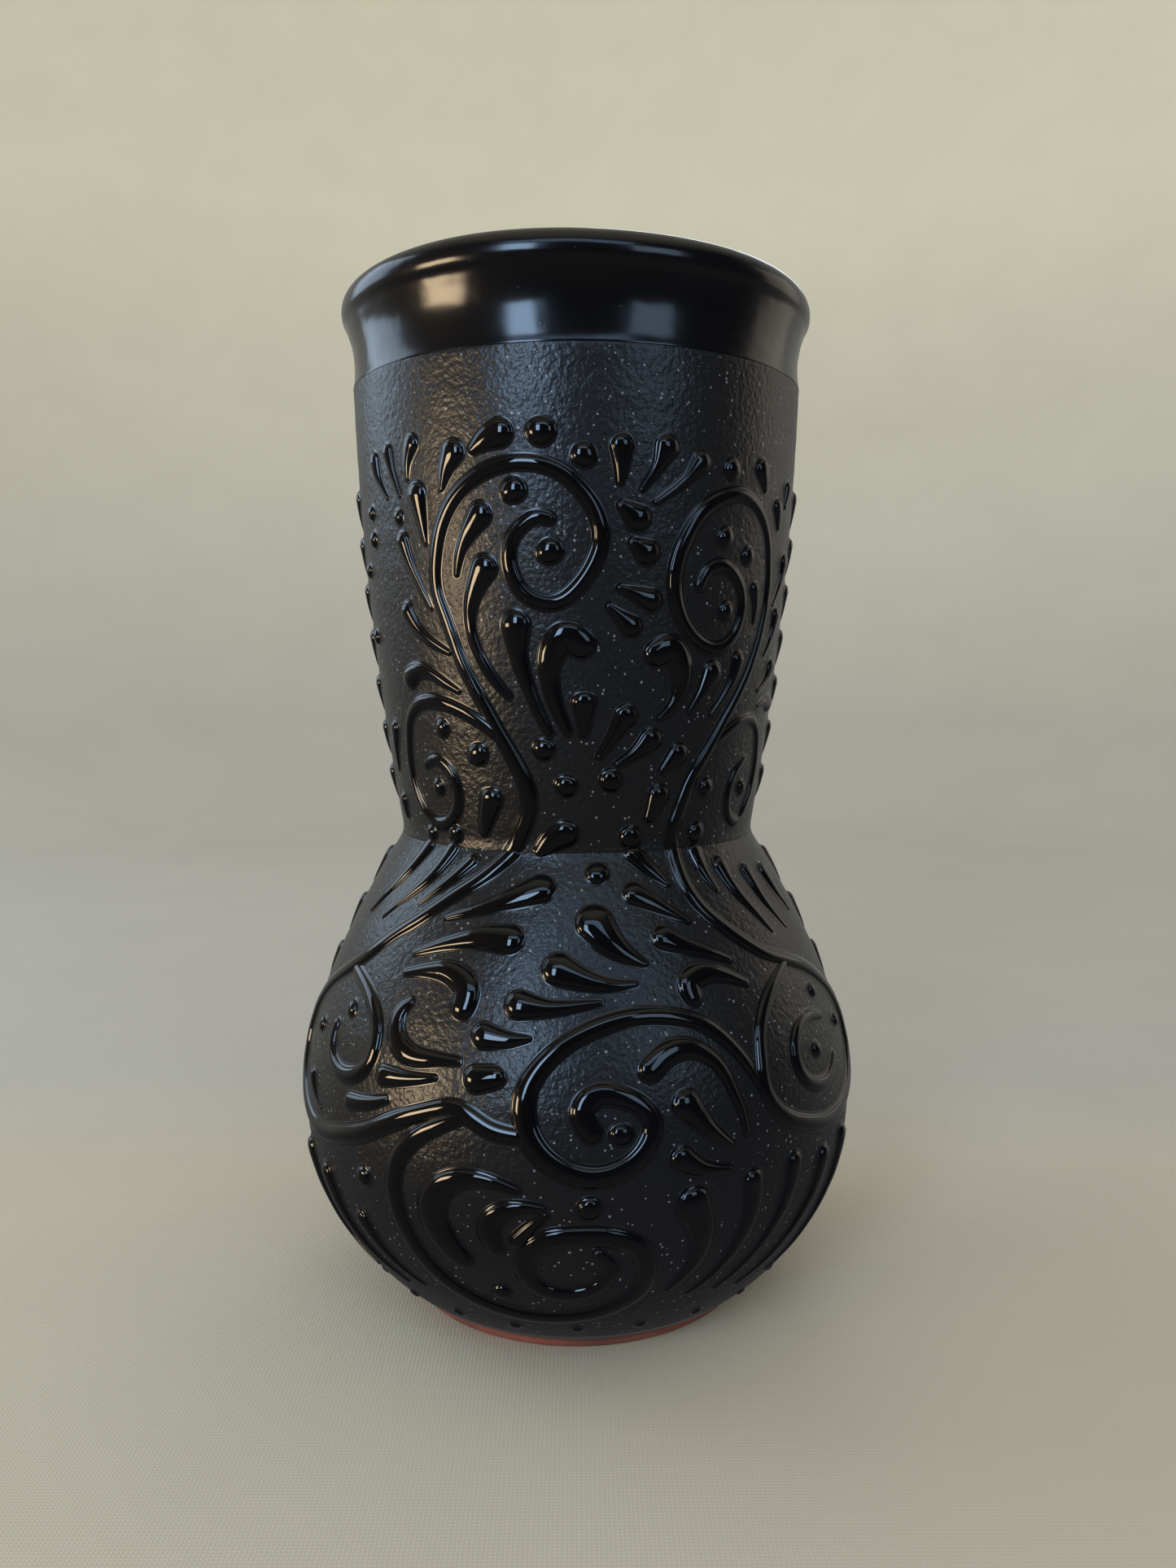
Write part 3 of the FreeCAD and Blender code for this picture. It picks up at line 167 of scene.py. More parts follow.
BULB_DROPS = [
    [(-9.5, 9, 3.2), (-15, 11, 2.5), (-21, 13.3, 1.6), (-27, 15.3, 1), (-33, 17.3, 0.6)],
    [(-15.5, 21, 3.2), (-21, 21, 2.7), (-26.5, 22, 1.8), (-33, 24, 1.2), (-39, 26.5, 0.7)],
    [(-23.5, 36.5, 2.9), (-23.5, 33, 3.2), (-27, 30, 2.6), (-33, 29.7, 1.6), (-40, 31.3, 0.8)],
    [(-22.5, 48.3, 0.7), (-28, 48.8, 1.4), (-34, 48.5, 2.3), (-38, 44.5, 2.5), (-38, 40, 1.7),
     (-36.3, 37.6, 1)],
    [(-38.8, 54.5, 2.1), (-33.5, 53.9, 1.5), (-26.8, 52.5, 0.7)],
    [(-18.5, 51.5, 2.8), (-15, 50.7, 2.3)],
    [(-18, 42.3, 2.7), (-13, 42.7, 1.6), (-9.3, 42.2, 0.7)],
    [(-11.5, 35.3, 3.1), (-6, 35.7, 1.7), (0, 35, 1), (4.5, 34.4, 0.6)],
    [(-4, 27.3, 3.5), (1, 29.3, 2.2), (7, 30.7, 1.2), (12, 30.8, 0.7)],
    [(4, 17, 4.1), (7, 21, 3.1), (10.5, 24, 1.8), (14.5, 26.5, 0.8)],
    [(14.5, 10.3, 2.5), (19, 12.8, 1.8), (24, 15.8, 1), (27, 17.6, 0.6)],
    [(20, 21, 2.7), (25, 23.3, 1.8), (30.5, 25.4, 1.1), (35.5, 27.7, 0.7)],
    [(24, 34.5, 2.2), (23.8, 31.7, 2.8), (27.5, 29.9, 2.3), (32.5, 30.8, 1.5), (38.3, 33.6, 0.8)],
    [(16.3, 0.5, 2.2), (20, 4.6, 1.6), (24, 8.3, 0.8)],
    [(36.5, 1, 2), (37.3, 7, 1.5), (39, 11, 0.8)],
    [(44.5, 5.5, 2.3), (45.5, 10.5, 1.8), (48.5, 16, 1.3), (54, 24, 0.7)],
    [(55, 8.5, 2.3), (56, 14, 1.6), (58.5, 19.5, 1), (62, 24.5, 0.7)],
    [(65.5, 9.5, 2.2), (67, 15, 1.5), (70.5, 21.5, 0.7)],
    [(-50.5, 0.5, 2), (-54.8, 8, 1.7), (-60, 14.5, 1.2), (-65.5, 20.5, 0.7)],
    [(-39.5, 0.5, 2), (-43.5, 8, 1.6), (-49.5, 14, 1.1), (-56.5, 20.5, 0.7)],
    [(-31, 3.2, 1.6), (-35, 7.3, 1.4), (-39.5, 11.3, 1), (-44, 15.2, 0.6)],
    [(13.3, 49, 2.6), (16.5, 46.2, 2.5), (20.5, 45.4, 2.1), (24.5, 47.3, 1.5), (27.5, 51, 1.2),
     (29.3, 56, 1), (30.8, 61, 0.9), (31.5, 65.5, 0.7)],
    [(19.5, 57, 3), (22, 61, 2.1), (25.3, 64.8, 1.2), (28, 67.3, 0.7)],
    [(18.2, 68.5, 2.6), (22, 71.3, 1.6), (27.5, 72.6, 0.8)],
    [(-10.5, 74.2, 0.8), (-17, 72.5, 1.5), (-23, 74.5, 2.6), (-26.3, 80, 3.6), (-25.5, 87, 3.8),
     (-22, 93, 3)],
    [(-6, 78, 0.7), (-10, 78, 1.3), (-13.7, 80, 2.2), (-15.8, 84, 2.6), (-14.8, 88.5, 2)],
    [(-5.6, 79.6, 0.7), (-8, 82.4, 1.2), (-10.6, 86.3, 1.7)],
    [(20.5, 79, 3.9), (22.5, 85, 3.3), (22.8, 91.5, 2.3), (20.8, 98, 1.4), (17.8, 102.5, 0.8)],
    [(33, 77, 2.7), (33.3, 84, 2.4), (31.5, 92, 1.8), (28, 99.5, 1.2), (23, 105.5, 0.7)],
    [(44, 76.3, 2.4), (42.8, 84, 2.1), (40, 92, 1.6), (35.5, 100, 1.1), (30, 106.5, 0.7)],
    [(55, 79, 2.6), (53, 87, 2), (49, 95, 1.5), (43.5, 102.5, 1.1), (37, 108.5, 0.7)],
    [(66, 78.5, 2.6), (64.5, 87, 2), (61, 95, 1.5), (55.5, 103, 1.1), (48, 109.5, 0.7)],
    [(-58.5, 85, 2.9), (-56.5, 91.5, 2.5), (-53, 98, 1.8), (-47.5, 104, 1.3), (-40.5, 109, 0.7)],
    [(-71, 84, 2.9), (-69.5, 91.5, 2.3), (-66, 98.5, 1.7), (-60, 105.5, 1.1), (-53, 110, 0.7)],
    [(-46.5, 91.5, 2.5), (-44, 97, 1.8), (-39.8, 102.5, 1.2), (-34.5, 107, 0.7)],
    [(-66, 63.5, 2), (-63, 66.8, 1.3), (-59.5, 68.7, 0.7)],
    [(-47.5, 62.8, 1.8), (-44.5, 62.2, 1.6), (-40.5, 61, 1.2), (-37, 59.4, 0.8)],
]
BULB_DOTS = [
    (5.3, 5.2, 2.4), (-54, 43, 2), (-66.5, 50.5, 2), (2, 77.8, 2.4), (-43, 79, 2.4),
    (-15, 102, 2.4), (7.5, 62, 2.3), (61.5, 40.8, 1.9), (55, 53.5, 2), (70, 51, 1.9),
]
# The pattern is trailed twice, once on each side, with a leafy column at each join.
TURNS = (0, 180)
SIDES = (90, 270)
LEAF_ROWS = 7
FOOT_DOTS, FOOT_DOT_TAPE, FOOT_DOT_SIZE = 24, 117.8, 1.5

# Leaves down the joins of the pattern: tape of the first, and the spacing on each wall, in mm.
LEAF_START, NECK_LEAF_PITCH, BULB_LEAF_PITCH = 8, 11.5, 14.5

# Angles over which a profile turns a corner, and over which an edge stays crisp.
CORNER = math.radians(12)
CRISP = math.radians(65)
TURNED_CRISP = math.radians(40)

# Distance under which two places count as one, and a length too small to divide by.
SNAP, TINY = 1e-6, 1e-9
# Share of a span that the easing of one corner may take.
EASE_SHARE = 0.4
# Steps round the pot of the seen faces and of the plainer ones.
FINE_TURN, PLAIN_TURN = 288, 192
# Spacing of the rows of a wall, and how near its end a row counts as level with it.
WALL_STEP, LEVEL_BAND = 0.25 * MM, 0.3 * MM
# Spacing of the throwing ridges, and the height over which they start.
RIDGE_PITCH, RIDGE_START = 1.15 * MM, 6 * MM

# Cross section of a trail: steps of its dome, caps and dots, and rounds of smoothing.
DOME_STEPS, CAP_STEPS, DOT_STEPS, SOFTENING = 6, 10, 28, 6
FOOT_STEPS = (0.2, 0.45, 0.7, 0.82, 1.0)
# Bead along the foot, as shares of the foot's width: its middle, its spread, and the foot's end.
BEAD_PLACE, BEAD_SPREAD, FOOT_END = 0.82, 0.09, 0.99
# Least share of its laid width that a trail keeps, and most of a bend's radius that it fills.
LEAST_WIDTH, BEND_FILL = 0.6, 0.95


class Flow(Enum):
    """Which way a tape runs along the wall from the waist."""

    UP = "neck_slip"
    DOWN = "bulb_slip"


class Pole(Enum):
    """How the two ends of a turned profile meet."""

    LOOP = "closed loop"
    AXIS = "both ends on the axis"


# ------------------------------------------------------------------ lines and profiles
class Spline:
    """Natural cubic spline through rows of values at growing stations."""

    def __init__(self, at: np.ndarray, values: np.ndarray) -> None:
        """Solves for the bends.

        Args:
            at: Station of each row, growing.
            values: One row of values for each station.
        """
        self.at, self.values = at, values
        self.bends = np.zeros_like(values)
        gaps = np.diff(at)
        count = len(at) - 2
        if count > 0:
            system = np.diag(2 * (gaps[:-1] + gaps[1:]))
            system[np.arange(count - 1), np.arange(1, count)] = gaps[1:-1]
            system[np.arange(1, count), np.arange(count - 1)] = gaps[1:-1]
            slopes = np.diff(values, axis=0) / gaps[:, None]
            self.bends[1:-1] = np.linalg.solve(system, 6 * np.diff(slopes, axis=0))

    def __call__(self, places: np.ndarray) -> np.ndarray:
        """Values at some places.

        Args:
            places: Stations to read, inside the spline's range.

        Returns:
            One row for each place.
        """
        index = np.clip(np.searchsorted(self.at, places) - 1, 0, len(self.at) - 2)
        gap = (self.at[index + 1] - self.at[index])[:, None]
        near = (self.at[index + 1] - places)[:, None] / gap
        far = 1 - near
        return (near * self.values[index] + far * self.values[index + 1]
                + ((near ** 3 - near) * self.bends[index]
                   + (far ** 3 - far) * self.bends[index + 1]) * gap ** 2 / 6)


def run_length(points: np.ndarray) -> np.ndarray:
    """Distance along a line at each of its points.

    Args:
        points: Rows of coordinates.

    Returns:
        Distance from the first point, in the same unit.
    """
    return np.concatenate([[0.0], np.cumsum(np.linalg.norm(np.diff(points, axis=0), axis=1))])


def respaced(points: np.ndarray, step: float) -> np.ndarray:
    """Smooth line through the points with even spacing.

    Args:
        points: Rows of coordinates, two or more.
        step: Largest spacing wanted.

    Returns:
        Rows along the line, ends included.
    """
    at = run_length(points)
    places = np.linspace(0, at[-1], max(2, math.ceil(at[-1] / step) + 1))
    return Spline(at, points)(places)


@dataclass(frozen=True)
class Section:
    """Profile of a turned CAD node, as (radius, height) rows.

    Attributes:
        rows: Rows in order, counter-clockwise with the radius drawn to the right.
        pole: Whether the rows close on themselves or start and end on the axis.
    """

    rows: np.ndarray
    pole: Pole

    @classmethod
    def of(cls, node: str) -> "Section":
        """Reads the profile where the node's seam crosses the XZ plane.

        Args:
            node: Name of a CAD node that is a solid of revolution.

        Returns:
            The node's section.
        """
        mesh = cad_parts[node].data
        spots: dict[int, tuple[float, float]] = {}
        for vertex in mesh.vertices:
            if abs(vertex.co.y) < SNAP and vertex.co.x > -TINY:
                spots[vertex.index] = (round(vertex.co.x, 6), round(vertex.co.z, 6))
        links: dict[tuple[float, float], set[tuple[float, float]]] = {}
        for edge in mesh.edges:
            ends = [spots.get(index) for index in edge.vertices]
            if None not in ends and ends[0] != ends[1]:
                links.setdefault(ends[0], set()).add(ends[1])
                links.setdefault(ends[1], set()).add(ends[0])
        loose = sorted(spot for spot, near in links.items() if len(near) == 1)
        start = loose[0] if loose else min(links, key=lambda spot: (spot[1], spot[0]))
        line, last = [start], None
        while True:
            ahead = sorted(spot for spot in links[line[-1]] if spot != last)
            if not ahead or ahead[0] == start:
                break
            last = line[-1]
            line.append(ahead[0])
        if loose:
            line = [(0.0, line[0][1])] + line + [(0.0, line[-1][1])]
        rows = np.array(line)
        turn = np.roll(rows, -1, axis=0)
        area = np.sum(rows[:, 0] * turn[:, 1] - turn[:, 0] * rows[:, 1])
        return cls(rows if area > 0 else rows[::-1], Pole.AXIS if loose else Pole.LOOP)

    def nearest(self, spot: tuple[float, float]) -> int:
        """Index of the row nearest to a spot."""
        return int(np.argmin(np.linalg.norm(self.rows - np.array(spot), axis=1)))

    def outside(self, start: tuple[float, float], end: tuple[float, float]) -> np.ndarray:
        """Rows between two corners along the side farther from the axis.

        Args:
            start: Where the rows begin.
            end: Where the rows end.

        Returns:
            Rows from start to end.
        """
        first, last = self.nearest(start), self.nearest(end)
        rolled = np.roll(self.rows, -first, axis=0)
        cut = (last - first) % len(self.rows)
        ways = [rolled[:cut + 1], np.concatenate([rolled[:1], rolled[cut:][::-1]])]
        return max(ways, key=lambda way: float(way[1:-1, 0].mean()))

    def eased(self, step: float, edge: float) -> np.ndarray:
        """The profile with even spacing and every sharp corner eased.

        Args:
            step: Largest spacing of the rows.
            edge: How far from a corner its easing starts.

        Returns:
            Rows in order; the ends of a profile on the axis are left out.
        """
        rows = self.rows
        if self.pole is Pole.LOOP:
            before = rows - np.roll(rows, 1, axis=0)
            after = np.roll(rows, -1, axis=0) - rows
            sharp = np.flatnonzero(bend(before, after) > CORNER)
            rows = np.roll(rows, -sharp[0], axis=0)
            rows = np.concatenate([rows, rows[:1]])
        steps = np.diff(rows, axis=0)
        sharp = np.flatnonzero(bend(steps[:-1], steps[1:]) > CORNER) + 1
        marks = [0, *sharp.tolist(), len(rows) - 1]
        spans = [respaced(rows[a:b + 1], step) for a, b in zip(marks, marks[1:])]
        made: list[np.ndarray] = []
        for index, span in enumerate(spans):
            wrap = self.pole is Pole.LOOP
            reach = min(edge, EASE_SHARE * run_length(span)[-1])
            kept = trimmed(span, reach if index or wrap else 0.0,
                           reach if index < len(spans) - 1 or wrap else 0.0)
            made.append(kept)
            if index < len(spans) - 1 or wrap:
                following = spans[(index + 1) % len(spans)]
                ahead = min(edge, EASE_SHARE * run_length(following)[-1])
                target = trimmed(following, ahead, 0.0)[0]
                made.append(0.25 * kept[-1:] + 0.5 * span[-1:] + 0.25 * target[None])
        joined = np.concatenate(made)
        return joined[joined[:, 0] > SNAP]


def bend(before: np.ndarray, after: np.ndarray) -> np.ndarray:
    """Angle turned between two rows of directions.

    Args:
        before: Directions that arrive.
        after: Directions that leave.

    Returns:
        Angle for each row, in radians.
    """
    cross = before[:, 0] * after[:, 1] - before[:, 1] * after[:, 0]
    return np.abs(np.arctan2(cross, np.sum(before * after, axis=1)))


def trimmed(span: np.ndarray, head: float, tail: float) -> np.ndarray:
    """A span shortened at its two ends.

    Args:
        span: Rows of coordinates.
        head: Length taken off its start.
        tail: Length taken off its end.

    Returns:
        Rows of the shorter span, with new ends exactly at the cuts.
    """
    at = run_length(span)
    inner = (at > head + TINY) & (at < at[-1] - tail - TINY)
    places = np.concatenate([[head], at[inner], [at[-1] - tail]])
    return np.stack([np.interp(places, at, span[:, axis]) for axis in (0, 1)], axis=1)


# ------------------------------------------------------------------ the thrown form
@dataclass(frozen=True)
class Hand:
    """Slight unevenness of a pot thrown by hand, shared by every piece so that all stay in touch.

    Attributes:
        waist: Radius and height of the crease between bulb and neck.
        line: Height of the lower edge of the rim glaze.
        top: Height of the lip.
        sway: Radial wander of the wall.
        ridge: Radial depth of the faint throwing ridges.
        tilt: How far the lip leans out of level.
        fill: How far slip fills the crease.
        reach: How far from the crease the filling goes.
    """

    waist: tuple[float, float]
    line: float
    top: float
    sway: float = 0.10 * MM
    ridge: float = 0.02 * MM
    tilt: float = 0.35 * MM
    fill: float = 0.45 * MM
    reach: float = 3.0 * MM

    @classmethod
    def of_frame(cls) -> "Hand":
        """Reads the heights of the form from the CAD frame."""
        rows = Section.of("bulb_slip").rows
        crease = rows[np.lexsort((rows[:, 0], rows[:, 1]))[-1]]
        low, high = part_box("rim_glaze")
        return cls((float(crease[0]), float(crease[1])), low.z, high.z)

    def shaped(self, points: np.ndarray) -> np.ndarray:
        """Moves points as the thrower's hands left them.

        Args:
            points: Rows of x, y, z on the ideal form.

        Returns:
            The moved points.
        """
        x, y, z = points[..., 0], points[..., 1], points[..., 2]
        radius = np.maximum(np.hypot(x, y), TINY)
        turn = np.arctan2(x, -y)
        free = np.clip(radius / self.waist[0], 0, 1) ** 2
        wander = (np.cos(turn - 0.7 + z / 0.09) + 0.7 * np.cos(2 * turn + 1.3 - z / 0.06)
                  + 0.4 * np.cos(3 * turn - 0.4 + z / 0.05)) * self.sway
        ridges = np.sin(z / RIDGE_PITCH + turn) * self.ridge * (z > RIDGE_START)
        gap = np.hypot(radius - self.waist[0], z - self.waist[1])
        filling = self.fill * np.clip(1 - gap / self.reach, 0, 1) ** 2
        upper = np.clip((z - self.line) / (self.top - self.line), 0, 1)
        lip = upper ** 2 * (3 - 2 * upper)
        wave = 0.2 * MM * np.cos(2 * turn + 0.9) + 0.1 * MM * np.cos(5 * turn + 2.1)
        grown = radius + (wander + ridges) * free + filling + lip * wave
        lifted = z + lip * (self.tilt * np.cos(turn + 0.9) + 0.5 * wave)
        return np.stack([x * grown / radius, y * grown / radius, lifted], axis=-1)


@dataclass(frozen=True)
class Wall:
    """Outer face of one coat of slip, followed with a tape from the waist.

    Attributes:
        tape: Distances along the wall.
        rows: Radius and height at each distance.
        lean: Direction of the tape in radius and height.
        facing: Outward direction in radius and height.
        hand: Unevenness of the form.
    """

    tape: np.ndarray
    rows: np.ndarray
    lean: np.ndarray
    facing: np.ndarray
    hand: Hand

    @classmethod
    def along(cls, flow: Flow, hand: Hand) -> "Wall":
        """Follows the coat's face away from the waist.

        Args:
            flow: The way of the tape, up the neck or down the bulb.
            hand: Unevenness of the form.

        Returns:
            The wall.
        """
        section = Section.of(flow.value)
        low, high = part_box(flow.value)
        far = high.z if flow is Flow.UP else low.z
        level = section.rows[np.abs(section.rows[:, 1] - far) < LEVEL_BAND]
        rows = respaced(section.outside(hand.waist, (float(level[:, 0].max()), far)), WALL_STEP)
        lean = np.gradient(rows, axis=0)
        lean /= np.linalg.norm(lean, axis=1)[:, None]
        way = 1 if flow is Flow.UP else -1
        facing = np.stack([lean[:, 1], -lean[:, 0]], axis=1) * way
        return cls(run_length(rows), rows, lean, facing, hand)

    def radius(self, tape: np.ndarray) -> np.ndarray:
        """Radius of the wall at some tape lengths."""
        return np.interp(tape, self.tape, self.rows[:, 0])

    def at(self, angle: np.ndarray, tape: np.ndarray, lift: np.ndarray) -> np.ndarray:
        """Points over the wall.

        Args:
            angle: Angle round the pot in radians, from the front towards the right.
            tape: Tape length from the waist.
            lift: Height over the wall, along its normal.

        Returns:
            Rows of x, y, z.
        """
        inside = np.clip(tape, 0, self.tape[-1])
        spare = tape - inside
        read = [np.interp(inside, self.tape, column)
                for column in (*self.rows.T, *self.lean.T, *self.facing.T)]
        radius = read[0] + read[2] * spare + read[4] * lift
        height = read[1] + read[3] * spare + read[5] * lift
        return self.hand.shaped(np.stack(
            [radius * np.sin(angle), -radius * np.cos(angle), height], axis=-1))


# ------------------------------------------------------------------ meshes
class Shell:
    """Points, faces and gloss of one piece, gathered and then made into an object."""

    def __init__(self, name: str) -> None:
        """Starts an empty piece.

        Args:
            name: Name of the piece.
        """
        self.name = name
        self.points: list[np.ndarray] = []
        self.faces: list[Sequence[int]] = []
        self.gloss: list[np.ndarray] = []
        self.count = 0

    def add(self, points: np.ndarray, faces: Iterable[Sequence[int]],
            gloss: np.ndarray | None = None) -> None:
        """Adds one closed bit.

        Args:
            points: Rows of x, y, z.
            faces: Faces as indices into the points.
            gloss: Share of mirror glaze at each point; all of it where left out.
        """
        self.points.append(points)
        self.faces.extend([[corner + self.count for corner in face] for face in faces])
        self.gloss.append(np.ones(len(points)) if gloss is None else gloss)
        self.count += len(points)

    def made(self, sharp: float) -> bpy.types.Object:
        """Makes the object.

        Args:
            sharp: Angle over which an edge stays crisp, in radians.

        Returns:
            The object, linked to the scene.
        """
        mesh = bpy.data.meshes.new(self.name)
        mesh.from_pydata(np.concatenate(self.points).tolist(), [], self.faces)
        work = bmesh.new()
        work.from_mesh(mesh)
        bmesh.ops.recalc_face_normals(work, faces=work.faces)
        work.to_mesh(mesh)
        work.free()
        mesh.attributes.new("gloss", "FLOAT", "POINT").data.foreach_set(
            "value", np.concatenate(self.gloss).astype(np.float32))
        mesh.shade_smooth()
        mesh.set_sharp_from_angle(angle=sharp)
        item = bpy.data.objects.new(self.name, mesh)
        bpy.context.scene.collection.objects.link(item)
        return item


def turned(rows: np.ndarray, pole: Pole, segments: int) -> tuple[np.ndarray, list[list[int]]]:
    """Turns a profile round the axis.

    Args:
        rows: Radius and height of each ring.
        pole: Whether the rows close on themselves or on the axis.
        segments: Steps round the pot.

    Returns:
        Points, ring by ring, and faces.
    """
    turn = np.arange(segments) * 2 * math.pi / segments
    rings = np.stack([rows[:, :1] * np.sin(turn), -rows[:, :1] * np.cos(turn),
                      np.repeat(rows[:, 1:], segments, axis=1)], axis=-1)
    points = rings.reshape(-1, 3)
    count = len(rows)
    last = count if pole is Pole.LOOP else count - 1
    ring, step = np.meshgrid(np.arange(last), np.arange(segments), indexing="ij")
    near, far = ring * segments, (ring + 1) % count * segments
    ahead = (step + 1) % segments
    faces = np.stack([near + step, near + ahead, far + ahead, far + step], -1)
    made = faces.reshape(-1, 4).tolist()
    if pole is Pole.AXIS:
        points = np.concatenate([points, [[0, 0, rows[0, 1]], [0, 0, rows[-1, 1]]]])
        for centre, base in ((count * segments, 0), (count * segments + 1, last * segments)):
            made += [[centre, base + index, base + (index + 1) % segments]
                     for index in range(segments)]
    return points, made


@dataclass(frozen=True)
class Trailing:
    """How slip sits where the trailer's nozzle laid it.

    Attributes:
        height: Height that a wide trail comes near to.
        reach: Half width over which the height grows.
        tuck: How far the gloss draws in from the trail's laid width.
        foot: Width of the soft foot along each side.
        edge: Height of that foot at the trail.
        bead: Height of the fine bead where the foot ends on the wall.
        sunk: How far the outer edge of the foot dips into the wall.
        seat: How far the underside is seated in the wall.
        step: Spacing of the cross sections.
        plump: Power of the dome; under one is flatter on top with steeper sides.
    """

    height: float = 2.2 * MM
    reach: float = 2.6 * MM
    tuck: float = 0.22 * MM
    foot: float = 0.95 * MM
    edge: float = 0.42 * MM
    bead: float = 0.045 * MM
    sunk: float = 0.03 * MM
    seat: float = 0.35 * MM
    step: float = 0.65 * MM
    plump: float = 0.6

    def rays(self) -> tuple[np.ndarray, np.ndarray, np.ndarray, np.ndarray]:
        """Half a cross section, from the crown out to the underside.

        Returns:
            Share of the half width, extra width, dome share of the height, and gloss.
        """
        turn = np.radians(np.linspace(0, 90, DOME_STEPS + 1))
        skirt = np.array(FOOT_STEPS)
        share = np.concatenate([np.sin(turn), np.ones(len(skirt) + 1)])
        extra = np.concatenate([np.zeros(DOME_STEPS + 1), skirt, [1.0]]) * self.foot
        dome = np.concatenate([np.cos(turn) ** (2 * self.plump), np.zeros(len(skirt) + 1)])
        gloss = np.concatenate([np.ones(DOME_STEPS + 1), (1 - skirt) ** 0.7, [0.0]])
        return share, extra, dome, gloss

    def lift(self, half_width: np.ndarray, extra: np.ndarray, dome: np.ndarray) -> np.ndarray:
        """Height of a cross section over the wall.

        Args:
            half_width: Half width of the trail, one row for each section.
            extra: Extra width of each column past the trail's edge.
            dome: Share of the dome's height of each column.

        Returns:
            Height of each column of each section.
        """
        rise = self.height * (1 - np.exp(-half_width / self.reach))
        edge = np.minimum(self.edge, 0.35 * rise)
        out = extra / self.foot
        bead = self.bead * np.exp(-((out - BEAD_PLACE) / BEAD_SPREAD) ** 2)
        foot = edge * (1 - out) ** 2 + bead - self.sunk * (out > FOOT_END)
        lift = (rise - edge) * dome + foot
        lift[..., -1] = -self.seat
        return lift


def trail(shell: Shell, wall: Wall, slip: Trailing, stations: Sequence[Station],
          turn: float) -> None:
    """Adds one trail of slip, rounded at both ends.

    Args:
        shell: Piece that the trail belongs to.
        wall: Wall that it lies on.
        slip: Shape of the slip.
        stations: Angle in degrees, tape in mm and half width in mm at each station.
        turn: Angle that the whole trail is turned round the pot, in degrees.
    """
    given = np.array(stations, float)
    angle, tape, width = np.radians(given[:, 0]), given[:, 1] * MM, given[:, 2] * MM
    width = np.maximum(width - slip.tuck, LEAST_WIDTH * width)
    local = np.stack([angle * float(wall.radius(tape).mean()), tape], axis=1)
    at = run_length(local)
    places = np.linspace(0, at[-1], max(3, math.ceil(at[-1] / slip.step) + 1))
    angle, tape = Spline(at, np.stack([angle, tape], axis=1))(places).T
    width = np.interp(places, at, width)
    for _ in range(SOFTENING):
        width[1:-1] = (width[:-2] + 2 * width[1:-1] + width[2:]) / 4
    radius = wall.radius(tape)
    ahead = np.stack([np.gradient(angle) * radius, np.gradient(tape)], axis=1)
    pace = np.linalg.norm(ahead, axis=1)
    ahead /= pace[:, None]
    heading = np.unwrap(np.arctan2(ahead[:, 1], ahead[:, 0]))
    curl = np.gradient(heading) / pace
    curl[[0, -1]] = 0
    beside = np.stack([-ahead[:, 1], ahead[:, 0]], axis=1)

    share, extra, dome, gloss = slip.rays()
    columns = np.concatenate([-np.arange(len(share))[:0:-1], np.arange(len(share))])
    pick = np.abs(columns)
    side = np.sign(columns)[None, :]
    off = side * (width[:, None] * share[pick] + extra[pick])
    room = BEND_FILL / np.maximum(np.abs(curl), SNAP)[:, None]
    tight = side * np.sign(curl)[:, None] > 0
    off = np.where(tight, off / (1 + (off / room) ** 4) ** 0.25, off)
    lift = slip.lift(width[:, None], extra, dome)[:, pick]
    start = math.radians(turn)

    def placed(base: int | slice, away: np.ndarray, height: np.ndarray) -> np.ndarray:
        """Points at steps away from the middle line.

        Args:
            base: Sections that the steps start from.
            away: Steps along the wall, round the pot and along the tape.
            height: Height over the wall at each step.

        Returns:
            Rows of x, y, z.
        """
        down = tape[base, None] + away[..., 1]
        round_pot = angle[base, None] + away[..., 0] / wall.radius(down)
        return wall.at(round_pot + start, down, height).reshape(-1, 3)

    body = placed(slice(None), off[..., None] * beside[:, None, :], lift)
    rows, across = len(places), len(columns)
    ring, column = np.meshgrid(np.arange(rows - 1), np.arange(across), indexing="ij")
    right = (column + 1) % across
    faces = np.stack([ring * across + column, ring * across + right,
                      (ring + 1) * across + right, (ring + 1) * across + column], -1)
    made = faces.reshape(-1, 4).tolist()
    points, shine = [body], [np.tile(gloss[pick], rows)]
    middle, half = len(share) - 1, len(share)
    count = rows * across
    for row, way in ((0, -1.0), (rows - 1, 1.0)):
        spin = np.linspace(-math.pi / 2, math.pi / 2, CAP_STEPS + 1)[1:-1]
        reach = (width[row] * share + extra)[1:]
        aim = (np.cos(spin)[:, None] * ahead[row] * way + np.sin(spin)[:, None] * beside[row])
        away = (reach[None, :, None] * aim[:, None, :]).reshape(1, -1, 2)
        height = np.tile(lift[row, middle + 1:], len(spin))[None]
        points.append(placed(slice(row, row + 1), away, height))
        shine.append(np.tile(gloss[1:], len(spin)))
        crown = row * across + middle
        fans = [[crown - step for step in range(1, half)]]
        fans += [[count + fan * (half - 1) + step for step in range(half - 1)]
                 for fan in range(len(spin))]
        fans += [[crown + step for step in range(1, half)]]
        for left_fan, right_fan in zip(fans, fans[1:]):
            made.append([crown, left_fan[0], right_fan[0]])
            made += [[left_fan[step], left_fan[step + 1], right_fan[step + 1], right_fan[step]]
                     for step in range(half - 2)]
        made.append([fan[-1] for fan in fans])
        count += len(spin) * (half - 1)
    shell.add(np.concatenate(points), made, np.concatenate(shine))


